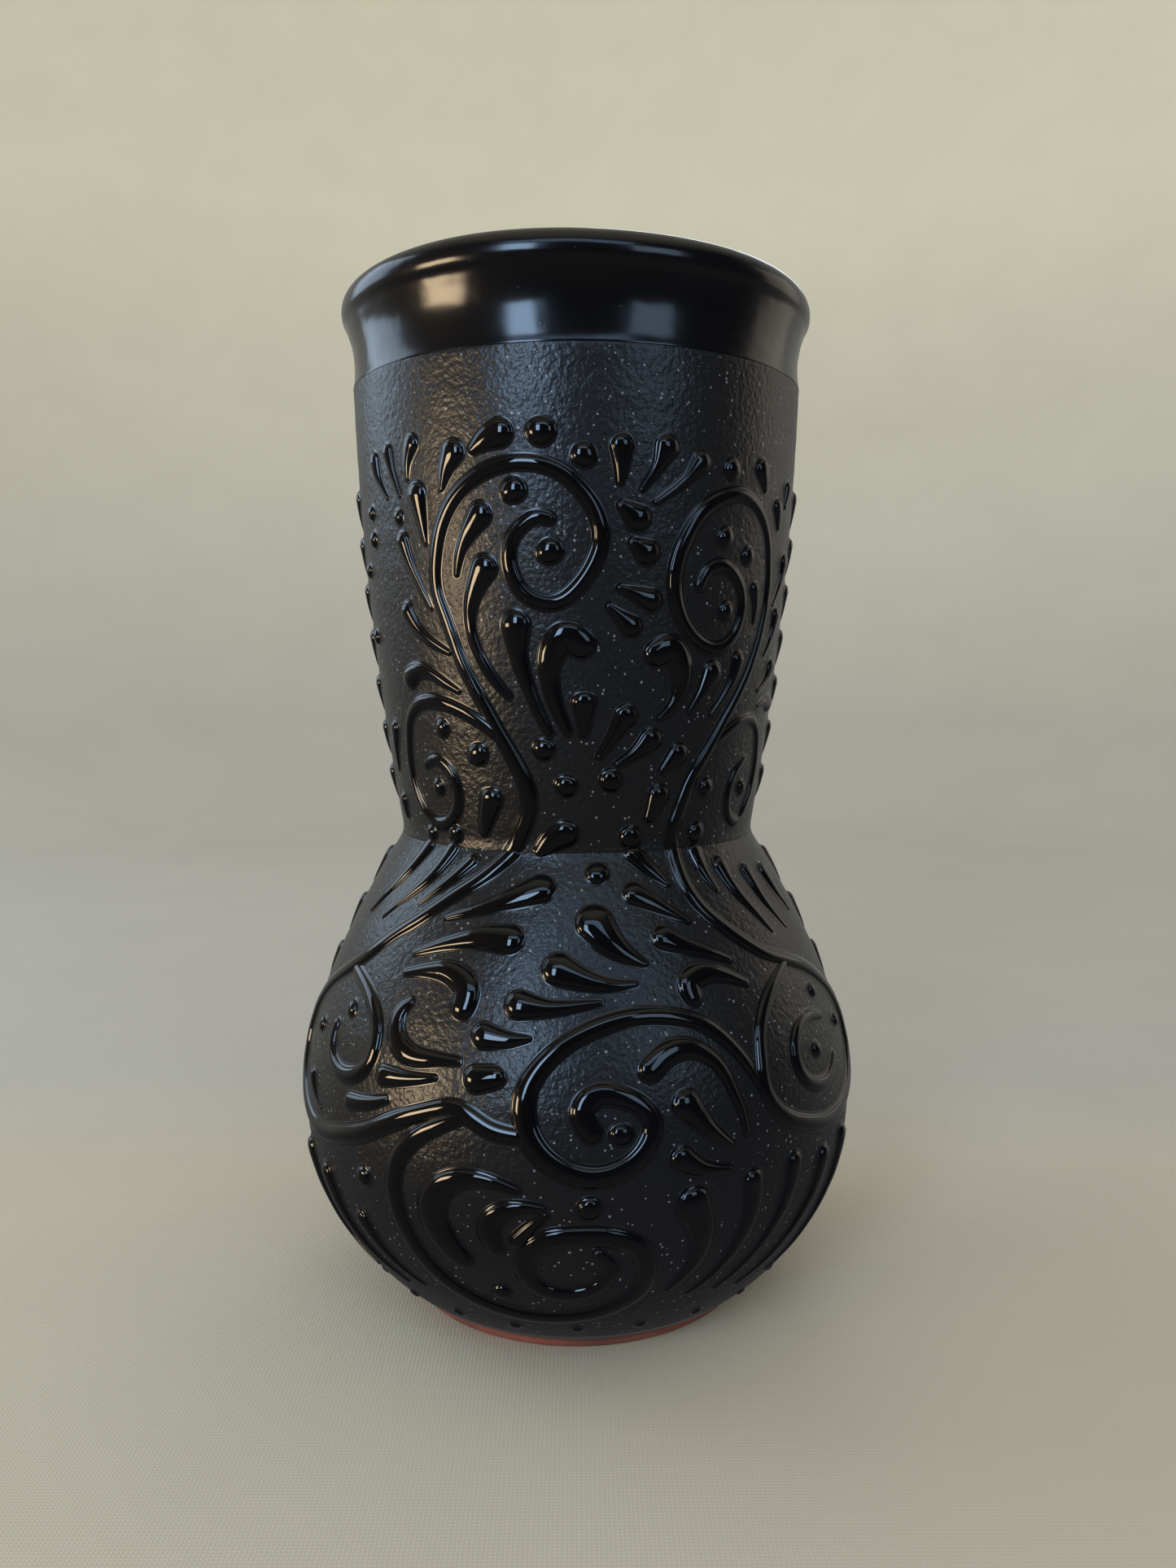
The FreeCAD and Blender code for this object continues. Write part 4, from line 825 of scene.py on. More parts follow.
def dot(shell: Shell, wall: Wall, slip: Trailing, station: Station, turn: float) -> None:
    """Adds one round dot of slip, a little out of round.

    Args:
        shell: Piece that the dot belongs to.
        wall: Wall that it lies on.
        slip: Shape of the slip.
        station: Angle in degrees, tape in mm and half width in mm.
        turn: Angle that it is turned round the pot, in degrees.
    """
    angle, tape = math.radians(station[0]), station[1] * MM
    width = station[2] * MM - slip.tuck
    share, extra, dome, gloss = slip.rays()
    spin = np.arange(DOT_STEPS) * 2 * math.pi / DOT_STEPS
    phase = 7 * angle + 90 * tape
    uneven = 1 + 0.035 * np.cos(2 * spin + phase) + 0.02 * np.cos(3 * spin - 2 * phase)
    reach = (width * uneven[:, None] * share + extra)[:, 1:]
    down = tape + reach * np.sin(spin)[:, None]
    round_pot = angle + reach * np.cos(spin)[:, None] / wall.radius(down)
    lift = slip.lift(np.array([[width]]), extra, dome)[0]
    start = math.radians(turn)
    body = wall.at(round_pot + start, down, np.broadcast_to(lift[1:], down.shape)).reshape(-1, 3)
    crown = wall.at(np.array([angle + start]), np.array([tape]), lift[:1])
    half = len(share) - 1
    made: list[list[int]] = []
    for fan in range(DOT_STEPS):
        here, beside = 1 + fan * half, 1 + (fan + 1) % DOT_STEPS * half
        made.append([0, here, beside])
        made += [[here + step, here + step + 1, beside + step + 1, beside + step]
                 for step in range(half - 1)]
    made.append([fan * half + half for fan in range(DOT_STEPS)])
    shell.add(np.concatenate([crown, body]), made,
              np.concatenate([gloss[:1], np.tile(gloss[1:], DOT_STEPS)]))


# ------------------------------------------------------------------ finishes
Colour = tuple[float, float, float]


class Tree:
    """One node tree, with short ways to add its nodes."""

    def __init__(self, tree: bpy.types.NodeTree) -> None:
        """Keeps the tree."""
        self.tree = tree

    def add(self, kind: str, inputs: dict[str | int, object] | None = None,
            **settings: object) -> bpy.types.Node:
        """Adds one shader node.

        Args:
            kind: Type of the node, without its "ShaderNode" prefix.
            inputs: Value or source socket of each input, by name or index.
            **settings: Properties of the node.

        Returns:
            The node.
        """
        node = self.tree.nodes.new("ShaderNode" + kind)
        for key, value in settings.items():
            setattr(node, key, value)
        for key, value in (inputs or {}).items():
            if isinstance(value, bpy.types.NodeSocket):
                self.tree.links.new(value, node.inputs[key])
            else:
                node.inputs[key].default_value = value
        return node

    def math(self, operation: str, first: object, second: object) -> bpy.types.NodeSocket:
        """Result of one sum.

        Args:
            operation: Blender's name of the operation.
            first: Value or socket.
            second: Value or socket.

        Returns:
            The output socket.
        """
        return self.add("Math", {0: first, 1: second}, operation=operation).outputs[0]

    def mix(self, share: object, low: object, high: object) -> bpy.types.NodeSocket:
        """Number between two others.

        Args:
            share: Share of the second, value or socket.
            low: First number, value or socket.
            high: Second number, value or socket.

        Returns:
            The output socket.
        """
        return self.add("Mix", {0: share, 2: low, 3: high}).outputs[0]

    def blend(self, share: object, low: object, high: object) -> bpy.types.NodeSocket:
        """Colour between two others.

        Args:
            share: Share of the second, value or socket.
            low: First colour or socket.
            high: Second colour or socket.

        Returns:
            The output socket.
        """
        pair = [(*item, 1.0) if isinstance(item, tuple) else item for item in (low, high)]
        return self.add("Mix", {0: share, 6: pair[0], 7: pair[1]}, data_type="RGBA").outputs[2]

    def span(self, value: object, start: float, end: float) -> bpy.types.NodeSocket:
        """How far a value has come from one number to another, held from nought to one.

        Args:
            value: The value's socket.
            start: Number that gives nought.
            end: Number that gives one.

        Returns:
            The output socket.
        """
        return self.add("MapRange", {"Value": value, "From Min": start,
                                     "From Max": end}).outputs[0]

    def place(self, effect: bpy.types.NodeTree, **inputs: float) -> bpy.types.NodeSocket:
        """First output of an effect.

        Args:
            effect: The node group.
            **inputs: Value of each of its inputs.

        Returns:
            The output socket.
        """
        node = self.tree.nodes.new("ShaderNodeGroup")
        node.node_tree = effect
        for key, value in inputs.items():
            node.inputs[key].default_value = value
        return node.outputs[0]


class Effects:
    """Shared effects, each a node group that is built once."""

    def __init__(self) -> None:
        """Builds every effect."""
        self.peel = self.made("OrangePeel", {"Scale": 2000.0}, "Height", self.fill_peel)
        self.sparkle = self.made("Sparkle", {"Scale": 400.0, "Size": 0.1}, "Mask",
                                 self.fill_sparkle)
        self.drift = self.made("KilnDrift", {"Scale": 9.0}, "Mask", self.fill_drift)
        self.grain = self.made("ClayGrain", {"Scale": 900.0}, "Height", self.fill_grain)
        self.weave = self.made("ClothWeave", {"Scale": 700.0}, "Height", self.fill_weave)

    @staticmethod
    def made(name: str, inputs: dict[str, float], output: str,
             fill: Callable) -> bpy.types.NodeTree:
        """Makes one effect.

        Args:
            name: Name of the group.
            inputs: Name and first value of each input.
            output: Name of its output.
            fill: Adds the nodes and gives the socket that feeds the output.

        Returns:
            The node group.
        """
        effect = bpy.data.node_groups.new(name, "ShaderNodeTree")
        for label, value in inputs.items():
            effect.interface.new_socket(label, in_out="INPUT",
                                        socket_type="NodeSocketFloat").default_value = value
        effect.interface.new_socket(output, in_out="OUTPUT", socket_type="NodeSocketFloat")
        tree = Tree(effect)
        given = effect.nodes.new("NodeGroupInput").outputs
        effect.links.new(fill(tree, given), effect.nodes.new("NodeGroupOutput").inputs[0])
        return effect

    @staticmethod
    def noise(tree: Tree, scale: object, detail: float) -> bpy.types.NodeSocket:
        """Noise over the object.

        Args:
            tree: Tree to add it to.
            scale: Cells in a metre, value or socket.
            detail: Octaves of finer noise.

        Returns:
            The output socket.
        """
        spot = tree.add("TexCoord").outputs["Object"]
        return tree.add("TexNoise", {"Vector": spot, "Scale": scale,
                                     "Detail": detail}).outputs["Fac"]

    @classmethod
    def fill_peel(cls, tree: Tree, given: Sequence) -> bpy.types.NodeSocket:
        """Pebbly skin of a glaze that did not level out.

        Args:
            tree: Tree of the group.
            given: Its input sockets.

        Returns:
            Height of the skin.
        """
        fine = cls.noise(tree, given["Scale"], 2.0)
        broad = cls.noise(tree, tree.math("MULTIPLY", given["Scale"], 0.2), 1.0)
        return tree.mix(0.3, fine, broad)

    @classmethod
    def fill_sparkle(cls, tree: Tree, given: Sequence) -> bpy.types.NodeSocket:
        """Sparse tiny grains.

        Args:
            tree: Tree of the group.
            given: Its input sockets.

        Returns:
            One inside a grain and nought elsewhere.
        """
        spot = tree.add("TexCoord").outputs["Object"]
        cell = tree.add("TexVoronoi", {"Vector": spot, "Scale": given["Scale"]})
        parts = tree.add("SeparateColor", {0: cell.outputs["Color"]}).outputs
        size = tree.math("MULTIPLY", given["Size"], parts[1])
        grain = tree.math("LESS_THAN", cell.outputs["Distance"], size)
        chosen = tree.math("GREATER_THAN", parts[0], 0.5)
        return tree.math("MULTIPLY", grain, chosen)

    @classmethod
    def fill_drift(cls, tree: Tree, given: Sequence) -> bpy.types.NodeSocket:
        """Slow change of tone that the fire leaves.

        Args:
            tree: Tree of the group.
            given: Its input sockets.

        Returns:
            Share from nought to one.
        """
        return tree.span(cls.noise(tree, given["Scale"], 3.0), 0.35, 0.65)

    @classmethod
    def fill_grain(cls, tree: Tree, given: Sequence) -> bpy.types.NodeSocket:
        """Sandy grain of bare clay.

        Args:
            tree: Tree of the group.
            given: Its input sockets.

        Returns:
            Height of the grain.
        """
        sand = cls.noise(tree, given["Scale"], 4.0)
        chips = cls.noise(tree, tree.math("MULTIPLY", given["Scale"], 0.25), 2.0)
        return tree.math("MULTIPLY", sand, chips)

    @classmethod
    def fill_weave(cls, tree: Tree, given: Sequence) -> bpy.types.NodeSocket:
        """Plain weave of a backdrop cloth.

        Args:
            tree: Tree of the group.
            given: Its input sockets.

        Returns:
            Height of the threads.
        """
        spot = tree.add("TexCoord").outputs["Object"]
        threads = [tree.add("TexWave", {"Vector": spot, "Scale": given["Scale"],
                                        "Distortion": 1.0},
                            bands_direction=way).outputs["Fac"] for way in ("X", "Y")]
        return tree.math("MAXIMUM", *threads)


EFFECTS = Effects()


@dataclass(frozen=True)
class Glaze:
    """Black glaze or slip.

    Attributes:
        name: Name of the material.
        base: Its colour.
        tint: Colour that the fire turned it to in places.
        roughness: Roughness of the base and of the tinted places.
        peel: Pebbles in a metre.
        depth: Height of the pebbles.
        speck: Size of the pale grains against their spacing; none at nought.
        under: Glaze that shows where the piece's gloss fades out.
    """

    name: str
    base: Colour
    tint: Colour
    roughness: tuple[float, float]
    peel: float
    depth: float
    speck: float = 0.0
    under: "Glaze | None" = None

    def layer(self, tree: Tree) -> list[bpy.types.NodeSocket]:
        """Adds the glaze's own pattern.

        Args:
            tree: Tree of the material.

        Returns:
            Sockets of its colour, roughness and height.
        """
        drift = tree.place(EFFECTS.drift, Scale=11.0)
        colour = tree.blend(drift, self.base, self.tint)
        rough = tree.mix(drift, *self.roughness)
        if self.speck:
            grain = tree.place(EFFECTS.sparkle, Scale=SPECK_SCALE, Size=self.speck)
            colour = tree.blend(grain, colour, SPECK_COLOUR)
            rough = tree.mix(grain, rough, 0.25)
        skin = tree.place(EFFECTS.peel, Scale=self.peel)
        return [colour, rough, tree.math("MULTIPLY", skin, self.depth)]

    def material(self) -> bpy.types.Material:
        """Makes the material, or gives the one made before."""
        made = bpy.data.materials.get(self.name)
        if made:
            return made
        made, tree, shader = blank(self.name)
        colour, rough, height = self.layer(tree)
        if self.under:
            share = tree.add("Attribute", attribute_name="gloss").outputs["Fac"]
            lower = self.under.layer(tree)
            colour = tree.blend(share, lower[0], colour)
            rough = tree.mix(share, lower[1], rough)
            height = tree.mix(share, lower[2], height)
        dress(tree, shader, colour, rough, height)
        return made


@dataclass(frozen=True)
class RedClay:
    """Bare red earthenware.

    Attributes:
        name: Name of the material.
        base: Its colour.
        smoked: Colour where smoke and glaze dust caught it.
        grain: Grains in a metre.
        depth: Height of the grain.
    """

    name: str = "red_earthenware"
    base: Colour = (0.26, 0.072, 0.045)
    smoked: Colour = (0.12, 0.038, 0.028)
    grain: float = 1500.0
    depth: float = 0.12 * MM

    def material(self) -> bpy.types.Material:
        """Makes the material, or gives the one made before."""
        made = bpy.data.materials.get(self.name)
        if made:
            return made
        made, tree, shader = blank(self.name)
        smoke = tree.place(EFFECTS.drift, Scale=45.0)
        grain = tree.place(EFFECTS.grain, Scale=self.grain)
        colour = tree.blend(smoke, self.base, self.smoked)
        colour = tree.blend(tree.math("MULTIPLY", grain, 1.2), colour, self.smoked)
        rough = tree.mix(grain, 0.75, 0.95)
        dress(tree, shader, colour, rough, tree.math("MULTIPLY", grain, self.depth))
        return made


@dataclass(frozen=True)
class Cloth:
    """Pale backdrop cloth, its colour painted with light and shade.

    Attributes:
        name: Name of the material.
        low: Its colour on the table.
        middle: Painted shade: its darker colour behind the pot.
        high: Painted light: its brighter colour at the top of the drop.
        shade_line: How far behind the pot the painted shade begins.
        top: Height of the drop where the painted light is full.
    """

    name: str
    low: Colour = (0.53, 0.455, 0.33)
    # middle is painted shade behind the pot; high is painted light at the top of the drop
    middle: Colour = (0.47, 0.43, 0.355)
    high: Colour = (0.85, 0.79, 0.60)
    shade_line: float = 0.09
    top: float = 0.8

    def material(self) -> bpy.types.Material:
        """Makes the material."""
        made, tree, shader = blank(self.name)
        spot = tree.add("SeparateXYZ", {0: tree.add("TexCoord").outputs["Object"]}).outputs
        # Painted light and shade: the cloth turns darker behind the pot and brighter towards the
        # top of the drop
        shade_line = tree.span(spot["Y"], self.shade_line - 0.03, self.shade_line + 0.05)
        rise = tree.span(spot["Z"], 0.1, self.top)
        colour = tree.blend(rise, tree.blend(shade_line, self.low, self.middle), self.high)
        mottle = tree.place(EFFECTS.drift, Scale=14.0)
        shade = tree.mix(mottle, 0.97, 1.0)
        colour = tree.add("Mix", {0: 1.0, 6: colour, 7: shade}, data_type="RGBA",
                          blend_type="MULTIPLY").outputs[2]
        weave = tree.place(EFFECTS.weave, Scale=350.0)
        dress(tree, shader, colour, tree.mix(mottle, 0.92, 0.97),
              tree.math("MULTIPLY", weave, 0.05 * MM))
        return made


def blank(name: str) -> tuple[bpy.types.Material, Tree, bpy.types.Node]:
    """New material with only its shader.

    Args:
        name: Name of the material.

    Returns:
        The material, its tree and its shader node.
    """
    made = bpy.data.materials.new(name)
    made.use_nodes = True
    shader = next(node for node in made.node_tree.nodes if node.type == "BSDF_PRINCIPLED")
    return made, Tree(made.node_tree), shader


def dress(tree: Tree, shader: bpy.types.Node, colour: bpy.types.NodeSocket,
          rough: bpy.types.NodeSocket, height: bpy.types.NodeSocket) -> None:
    """Feeds a shader.

    Args:
        tree: Tree of the material.
        shader: Its shader node.
        colour: Socket of its colour.
        rough: Socket of its roughness.
        height: Socket of its height, in metres.
    """
    relief = tree.add("Bump", {"Distance": 1.0, "Height": height})
    for name, socket in (("Base Color", colour), ("Roughness", rough),
                         ("Normal", relief.outputs[0])):
        tree.tree.links.new(socket, shader.inputs[name])


SPECK_SCALE, SPECK_COLOUR = 820.0, (0.14, 0.14, 0.145)
SATIN = Glaze("satin_black_slip", (0.0064, 0.0060, 0.0058), (0.0050, 0.0052, 0.0068), (0.31, 0.38),
              800.0, 0.34 * MM, speck=0.26)
FILLET = Glaze("foot_of_trail", (0.0050, 0.0048, 0.0050), (0.0040, 0.0045, 0.0070), (0.24, 0.30),
               900.0, 0.02 * MM)
MIRROR = Glaze("mirror_black_slip", (0.0015, 0.0015, 0.0016), (0.0020, 0.0022, 0.0032),
               (0.04, 0.07), 260.0, 0.02 * MM, under=FILLET)
RIM = Glaze("gloss_black_rim", (0.0018, 0.0018, 0.0020), (0.0024, 0.0026, 0.0040), (0.16, 0.21),
            90.0, 0.30 * MM, speck=0.08)
LINING = Glaze("gloss_black_lining", (0.0030, 0.0030, 0.0030), (0.0060, 0.0056, 0.0052),
               (0.12, 0.22), 180.0, 0.06 * MM)
FOOT = Glaze("blue_black_foot_line", (0.0030, 0.0048, 0.0100), (0.0045, 0.0060, 0.0085),
             (0.10, 0.18), 300.0, 0.04 * MM)
CLAY = RedClay()
Finish = Glaze | RedClay


# ------------------------------------------------------------------ pieces of the vase
def fitted(item: bpy.types.Object, finish: Finish, node: str) -> bpy.types.Object:
    """Gives a piece its finish and its place on the frame.

    Args:
        item: The piece.
        finish: Its finish.
        node: CAD node that it stands for, which is hidden.

    Returns:
        The piece.
    """
    item.data.materials.append(finish.material())
    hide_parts(node)
    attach(item, BODY)
    return item


@dataclass(frozen=True)
class Turned:
    """One piece turned on the wheel.

    Attributes:
        node: CAD node that it stands for.
        name: Name of the piece.
        finish: Its finish.
        step: Largest spacing of its rings.
        edge: Easing of its corners.
        segments: Steps round the pot.
    """

    node: str
    name: str
    finish: Finish
    step: float
    edge: float
    segments: int = FINE_TURN

    def rows(self, section: Section) -> np.ndarray:
        """Rings of the piece as radius and height."""
        return section.eased(self.step, self.edge)

    def worked(self, points: np.ndarray) -> np.ndarray:
        """Points after the piece's own handwork; none here."""
        return points

    def build(self, hand: Hand) -> bpy.types.Object:
        """Makes the piece.

        Args:
            hand: Unevenness of the form.

        Returns:
            The piece, dressed and riding on the frame.
        """
        section = Section.of(self.node)
        points, faces = turned(self.rows(section), section.pole, self.segments)
        shell = Shell(self.name)
        shell.add(hand.shaped(self.worked(points)), faces)
        return fitted(shell.made(TURNED_CRISP), self.finish, self.node)


@dataclass(frozen=True)
class FootLine(Turned):
    """Gloss line over the bare foot, whose lower edge wanders as the brush left it.

    Attributes:
        wander: How far the lower edge strays along the wall.
    """

    wander: float = 0.55 * MM

    def worked(self, points: np.ndarray) -> np.ndarray:
        """Points with the lower edge drawn up and down.

        Args:
            points: Rows of x, y, z.

        Returns:
            The moved points.
        """
        low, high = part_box(self.node)
        x, y, z = points.T
        radius, turn = np.hypot(x, y), np.arctan2(x, -y)
        stray = (np.cos(2 * turn + 0.4) + 0.6 * np.cos(5 * turn + 1.9)
                 + 0.5 * np.cos(9 * turn - 0.6) + 0.3 * np.cos(17 * turn + 0.8))
        share = np.clip((high.z - z) / (high.z - low.z), 0, 1) ** 1.5
        slope = (high.x - float(radius[np.argmin(z)])) / (high.z - low.z)
        up = stray * self.wander * share / math.hypot(1, slope)
        grown = (radius + up * slope) / radius
        return np.stack([x * grown, y * grown, z + up], axis=1)


@dataclass(frozen=True)
class Lining(Turned):
    """Glaze inside the pot, over the rings that the thrower's fingers left.

    Attributes:
        ring: Spacing of the finger rings.
        depth: Their depth.
    """

    ring: float = 9.0 * MM
    depth: float = 0.18 * MM

    def rows(self, section: Section) -> np.ndarray:
        """Rings of the piece, drawn in and out on its inner face.

        Args:
            section: Profile of the CAD node.

        Returns:
            Rows of radius and height.
        """
        rows = section.eased(self.step, self.edge)
        lean = np.gradient(rows, axis=0)
        facing = np.stack([lean[:, 1], -lean[:, 0]], axis=1)
        facing /= np.linalg.norm(facing, axis=1)[:, None]
        inner = np.clip(-facing[:, 0] * 2 - 1, 0, 1)
        wave = self.depth * inner * (0.5 + 0.5 * np.sin(2 * math.pi * rows[:, 1] / self.ring))
        return rows + facing * wave[:, None]


@dataclass(frozen=True)
class Bulb:
    """Round lower half: clay body, satin coat and the gloss line over the foot.

    Attributes:
        hand: Unevenness of the form.
        clay_step: Spacing of the clay's rings.
        coat_step: Spacing of the coat's rings.
    """

    hand: Hand
    clay_step: float = 1.6 * MM
    coat_step: float = 0.9 * MM

    def build(self) -> list[bpy.types.Object]:
        """Makes the three pieces."""
        pieces = [Turned("clay_bulb", "bulb_clay", CLAY, self.clay_step, 0.5 * MM, PLAIN_TURN),
                  Turned("bulb_slip", "bulb_satin", SATIN, self.coat_step, 0.12 * MM),
                  FootLine("foot_glaze", "foot_gloss", FOOT, 0.4 * MM, 0.15 * MM)]
        return [piece.build(self.hand) for piece in pieces]


@dataclass(frozen=True)
class Neck:
    """Flaring upper half: clay body and satin coat.

    Attributes:
        hand: Unevenness of the form.
        clay_step: Spacing of the clay's rings.
        coat_step: Spacing of the coat's rings.
    """

    hand: Hand
    clay_step: float = 3.0 * MM
    coat_step: float = 0.9 * MM

    def build(self) -> list[bpy.types.Object]:
        """Makes the two pieces."""
        pieces = [Turned("clay_neck", "neck_clay", CLAY, self.clay_step, 0.3 * MM, PLAIN_TURN),
                  Turned("neck_slip", "neck_satin", SATIN, self.coat_step, 0.12 * MM)]
        return [piece.build(self.hand) for piece in pieces]


@dataclass(frozen=True)
class Mouth:
    """Gloss glaze over the rolled rim and down the inside.

    Attributes:
        hand: Unevenness of the form.
        rim_step: Spacing of the rim's rings.
        lining_step: Spacing of the lining's rings.
    """

    hand: Hand
    rim_step: float = 0.5 * MM
    lining_step: float = 1.5 * MM

    def build(self) -> list[bpy.types.Object]:
        """Makes the two pieces."""
        pieces = [Turned("rim_glaze", "rim_gloss", RIM, self.rim_step, 0.2 * MM),
                  Lining("inner_glaze", "lining_gloss", LINING, self.lining_step,
                         0.1 * MM, PLAIN_TURN)]
        return [piece.build(self.hand) for piece in pieces]


@dataclass(frozen=True)
class Relief:
    """Scrolls, drops and dots of slip trailed on one wall.

    Attributes:
        wall: Wall that they lie on.
        place: First word of the pieces' names.
        scrolls: Stations of each scroll.
        drops: Stations of each drop.
        dots: Station of each dot.
        leaves: Stations of each leaf at a join of the pattern.
        slip: Shape of the slip.
    """

    wall: Wall
    place: str
    scrolls: list[list[Station]]
    drops: list[list[Station]]
    dots: list[Station]
    leaves: list[list[Station]]
    slip: Trailing = Trailing()

    def trails(self, word: str, spread: Sequence[tuple[list[list[Station]], Sequence[int]]]
               ) -> bpy.types.Object:
        """Makes one piece of trails.

        Args:
            word: Last word of the CAD node's name.
            spread: Trails, and the angles at which they are repeated.

        Returns:
            The piece.
        """
        shell = Shell(f"{self.place}_{word}_slip")
        for lines, turns in spread:
            for turn in turns:
                for line in lines:
                    trail(shell, self.wall, self.slip, line, turn)
        return fitted(shell.made(CRISP), MIRROR, f"{self.place}_{word}")

    def spots(self, word: str, dots: Sequence[Station], turns: Iterable[float],
              slip: Trailing) -> bpy.types.Object:
        """Makes one piece of dots.

        Args:
            word: Last word of the CAD node's name.
            dots: Station of each dot.
            turns: Angles at which they are repeated.
            slip: Shape of the slip.

        Returns:
            The piece.
        """
        node = word if "_" in word else f"{self.place}_{word}"
        shell = Shell(node + "_slip")
        for turn in turns:
            for station in dots:
                dot(shell, self.wall, slip, station, turn)
        return fitted(shell.made(CRISP), MIRROR, node)

    def build(self) -> list[bpy.types.Object]:
        """Makes the scrolls, the drops and the dots."""
        return [self.trails("scrolls", [(self.scrolls, TURNS)]),
                self.trails("drops", [(self.drops, TURNS), (self.leaves, SIDES)]),
                self.spots("dots", self.dots, TURNS, self.slip)]


@dataclass(frozen=True)
class FootDots(Relief):
    """Row of small flat dots over the foot line."""

    def build(self) -> list[bpy.types.Object]:
        """Makes the row."""
        turns = [360 / FOOT_DOTS * step for step in range(FOOT_DOTS)]
        return [self.spots("foot_dots", self.dots, turns, Trailing(height=1.5 * MM))]


def neck_leaves() -> list[list[Station]]:
    """Pairs of leaves up a join of the neck."""
    tips = [LEAF_START + NECK_LEAF_PITCH * row for row in range(LEAF_ROWS)]
    return [[(side * 8, tip + 7.5, 2.2), (side * 5, tip + 3.2, 1.3), (side * 2.2, tip, 0.7)]
            for tip in tips for side in (-1, 1)]


def bulb_leaves() -> list[list[Station]]:
    """One row of hanging leaves down a join of the bulb."""
    tops = [LEAF_START + BULB_LEAF_PITCH * row for row in range(LEAF_ROWS)]
    return [[(0, top, 2.2), (0, top + 4.5, 1.5), (0, top + 8.5, 0.7)] for top in tops]


# ------------------------------------------------------------------ studio
@dataclass(frozen=True)
class Softbox:
    """One soft light.

    Attributes:
        name: Name of the light.
        place: Where it stands.
        aim: Point that it faces.
        size: Width and height.
        power: Power in watts.
        colour: Its colour.
    """

    name: str
    place: tuple[float, float, float]
    aim: tuple[float, float, float]
    size: tuple[float, float]
    power: float
    colour: Colour

    def build(self) -> bpy.types.Object:
        """Makes the light."""
        data = bpy.data.lights.new(self.name, "AREA")
        data.shape, (data.size, data.size_y) = "RECTANGLE", self.size
        data.energy, data.color = self.power, self.colour
        item = bpy.data.objects.new(self.name, data)
        item.location = self.place
        facing = Vector(self.aim) - Vector(self.place)
        item.rotation_euler = facing.to_track_quat("-Z", "Y").to_euler()
        item.visible_camera = False
        bpy.context.scene.collection.objects.link(item)
        return item


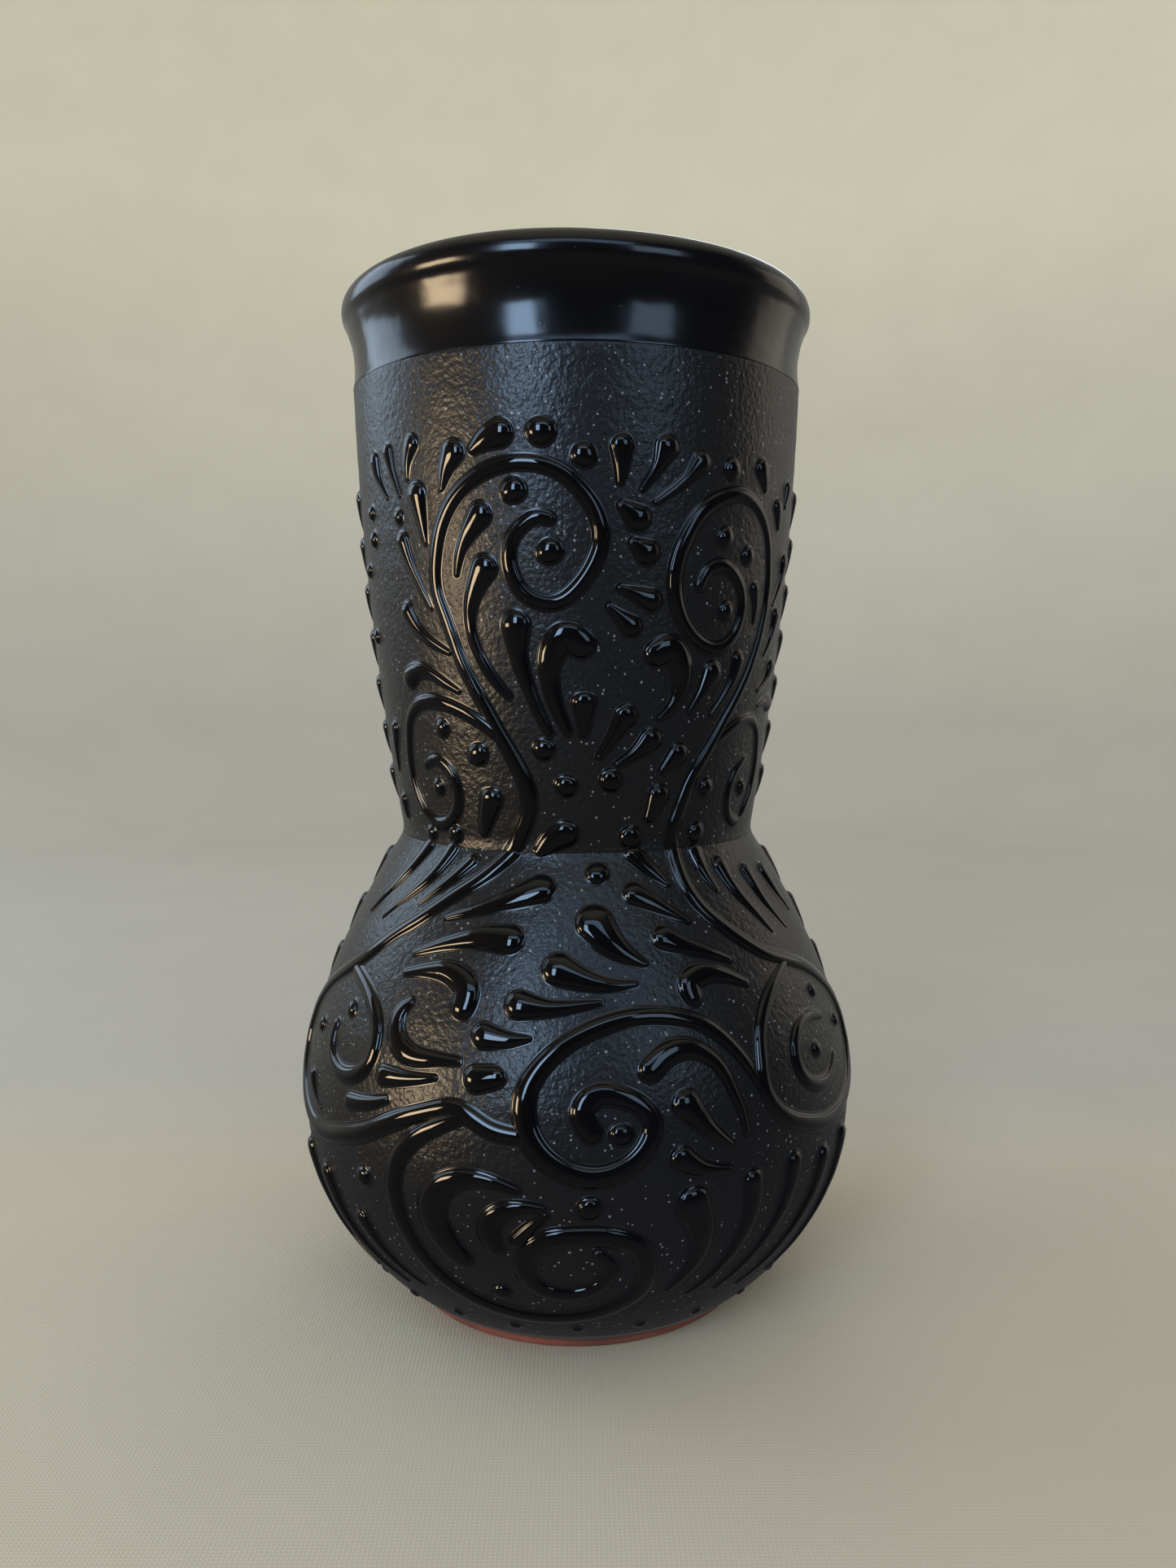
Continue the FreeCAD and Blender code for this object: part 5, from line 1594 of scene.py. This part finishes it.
@dataclass(frozen=True)
class Studio:
    """Table, backdrop, lights and camera.

    Attributes:
        near: Radius of the table top that is one flat sheet under the vase.
        table: Radius of the whole flat table.
        sweep: Radius of the backdrop at its top.
        top: Height of the backdrop.
        eye: Place of the camera.
        pitch: How far the camera looks down, in degrees.
        yaw: How far it looks to the right, in degrees.
        lens: Focal length in mm.
        film: Width of the film in mm.
        clip: Distance under which the camera sees nothing.
        aim: Point that the lights face.
        rings: Rings of the table top, of the rest of the table and of the backdrop.
        segments: Steps round each sheet.
    """

    near: float = 0.15
    table: float = 0.85
    sweep: float = 1.5
    top: float = 1.4
    eye: tuple[float, float, float] = (0.0, -0.310, 0.160)
    pitch: float = 5.55
    yaw: float = 0.52
    lens: float = 27.03
    film: float = 36.0
    clip: float = 0.01
    aim: tuple[float, float, float] = (0.0, 0.0, 0.13)
    rings: tuple[int, int, int] = (12, 20, 24)
    segments: int = 128

    def flat(self, name: str, radii: np.ndarray, filled: bool) -> bpy.types.Object:
        """Makes one flat sheet of the table, kept out of the glaze's reflections.

        Args:
            name: Name of the sheet.
            radii: Radius of each ring, outwards.
            filled: Whether the middle is filled in.

        Returns:
            The sheet.
        """
        item = self.sheet(name, np.stack([radii, np.zeros_like(radii)], axis=1), filled)
        item.visible_glossy = False
        return item

    def floor(self) -> bpy.types.Object:
        """Makes the table top under the vase."""
        return self.flat("table_cloth", np.linspace(0.01, self.near, self.rings[0]), True)

    def surround(self) -> bpy.types.Object:
        """Makes the rest of the table."""
        return self.flat("outer_cloth", np.linspace(self.near, self.table, self.rings[1]), False)

    def backdrop(self) -> bpy.types.Object:
        """Makes the drop that rises all round the table; only the camera sees it."""
        turn = np.linspace(0, math.pi / 2, self.rings[2])
        rows = np.stack([self.table + (self.sweep - self.table) * np.sin(turn),
                         self.top * (1 - np.cos(turn))], axis=1)
        item = self.sheet("drop_cloth", rows, False)
        item.visible_glossy = item.visible_diffuse = item.visible_shadow = False
        return item

    def sheet(self, name: str, rows: np.ndarray, filled: bool) -> bpy.types.Object:
        """Makes one turned sheet of cloth.

        Args:
            name: Name of the sheet.
            rows: Radius and height of each ring, outwards.
            filled: Whether the middle is filled in.

        Returns:
            The sheet.
        """
        segments = self.segments
        points, _ = turned(rows, Pole.LOOP, segments)
        faces = [[ring * segments + step, ring * segments + (step + 1) % segments,
                  (ring + 1) * segments + (step + 1) % segments, (ring + 1) * segments + step]
                 for ring in range(len(rows) - 1) for step in range(segments)]
        if filled:
            faces.append(list(range(segments))[::-1])
        mesh = bpy.data.meshes.new(name)
        mesh.from_pydata(points.tolist(), [], faces)
        mesh.shade_smooth()
        mesh.materials.append(Cloth(name).material())
        item = bpy.data.objects.new(name, mesh)
        bpy.context.scene.collection.objects.link(item)
        return item

    def lights(self) -> list[bpy.types.Object]:
        """Makes the soft lights, each given as its name, place, size, power and colour."""
        rows = [
            ("left_window", (-0.94, 0.34, 0.62), (0.62, 0.70), 3.6, (0.60, 0.79, 1.0)),
            ("left_wall", (-0.88, -0.44, 0.12), (0.34, 0.22), 3.6, (1.0, 0.76, 0.48)),
            ("sky", (-0.05, -0.78, 0.84), (0.95, 0.22), 1.5, (0.45, 0.68, 1.0)),
            ("front_window", (-0.42, -0.90, 0.48), (0.26, 0.46), 4.0, (0.48, 0.70, 1.0)),
            ("side_window", (0.58, -0.82, 0.50), (0.36, 0.44), 1.1, (0.52, 0.74, 1.0)),
            ("right_wall", (0.94, 0.34, 0.45), (0.55, 0.60), 0.55, (1.0, 0.84, 0.70)),
            ("back_window", (0.25, 1.05, 0.85), (0.45, 0.35), 1.2, (0.80, 0.90, 1.0)),
        ]
        return [Softbox(name, place, self.aim, size, power, colour).build()
                for name, place, size, power, colour in rows]

    @staticmethod
    def room() -> bpy.types.World:
        """Makes the room: pale open air over the cloths, and dim in front as the glaze shows it."""
        world = bpy.data.worlds.new("room")
        world.use_nodes = True
        tree = Tree(world.node_tree)
        tree.tree.nodes.clear()
        way = tree.add("SeparateXYZ", {0: tree.add("TexCoord").outputs["Generated"]}).outputs
        behind = tree.span(way["Y"], -0.05, 0.45)
        left = tree.span(way["X"], -0.35, -0.95)
        room = tree.blend(left, (0.030, 0.028, 0.030), (0.16, 0.125, 0.095))
        room = tree.blend(behind, room, (0.36, 0.355, 0.32))
        ceiling = tree.span(way["Z"], 0.68, 0.92)
        room = tree.blend(ceiling, room, (0.46, 0.42, 0.33))
        ground = tree.span(way["Z"], -0.05, -0.45)
        room = tree.blend(ground, room, (0.110, 0.108, 0.110))
        mirrored = tree.add("Background", {"Color": room, "Strength": 1.0})
        open_air = tree.add("Background", {"Color": (0.60, 0.61, 0.60, 1), "Strength": 1.0})
        glossy = tree.add("LightPath").outputs["Is Glossy Ray"]
        both = tree.add("MixShader", {0: glossy, 1: open_air.outputs[0],
                                      2: mirrored.outputs[0]})
        tree.add("OutputWorld", {"Surface": both.outputs[0]})
        bpy.context.scene.world = world
        return world

    def camera(self) -> bpy.types.Object:
        """Makes the camera and puts it in charge."""
        data = bpy.data.cameras.new("camera")
        data.lens, data.sensor_width, data.clip_start = self.lens, self.film, self.clip
        item = bpy.data.objects.new("camera", data)
        item.location = self.eye
        item.rotation_euler = (math.radians(90 - self.pitch), 0, math.radians(-self.yaw))
        bpy.context.scene.collection.objects.link(item)
        bpy.context.scene.camera = item
        return item

    def build(self) -> list[bpy.types.Object]:
        """Makes everything round the vase."""
        self.room()
        bpy.context.scene.view_settings.view_transform = "Standard"
        return [self.floor(), self.surround(), self.backdrop(), *self.lights(), self.camera()]


def main() -> None:
    """Builds the vase, then its studio."""
    logging.basicConfig(level=logging.INFO, format="%(name)s: %(message)s")
    hand = Hand.of_frame()
    neck_wall, bulb_wall = Wall.along(Flow.UP, hand), Wall.along(Flow.DOWN, hand)
    row = [(0.0, FOOT_DOT_TAPE, FOOT_DOT_SIZE)]
    groups = [
        Bulb(hand), Neck(hand), Mouth(hand),
        Relief(neck_wall, "neck", NECK_SCROLLS, NECK_DROPS, NECK_DOTS, neck_leaves()),
        Relief(bulb_wall, "bulb", BULB_SCROLLS, BULB_DROPS, BULB_DOTS, bulb_leaves()),
        FootDots(bulb_wall, "foot", [], [], row, []),
        Studio(),
    ]
    for group in groups:
        for item in group.build():
            faces = len(item.data.polygons) if item.type == "MESH" else 0
            LOG.info("%s: %s, %d faces", type(group).__name__, item.name, faces)


if __name__ == "__main__":
    main()
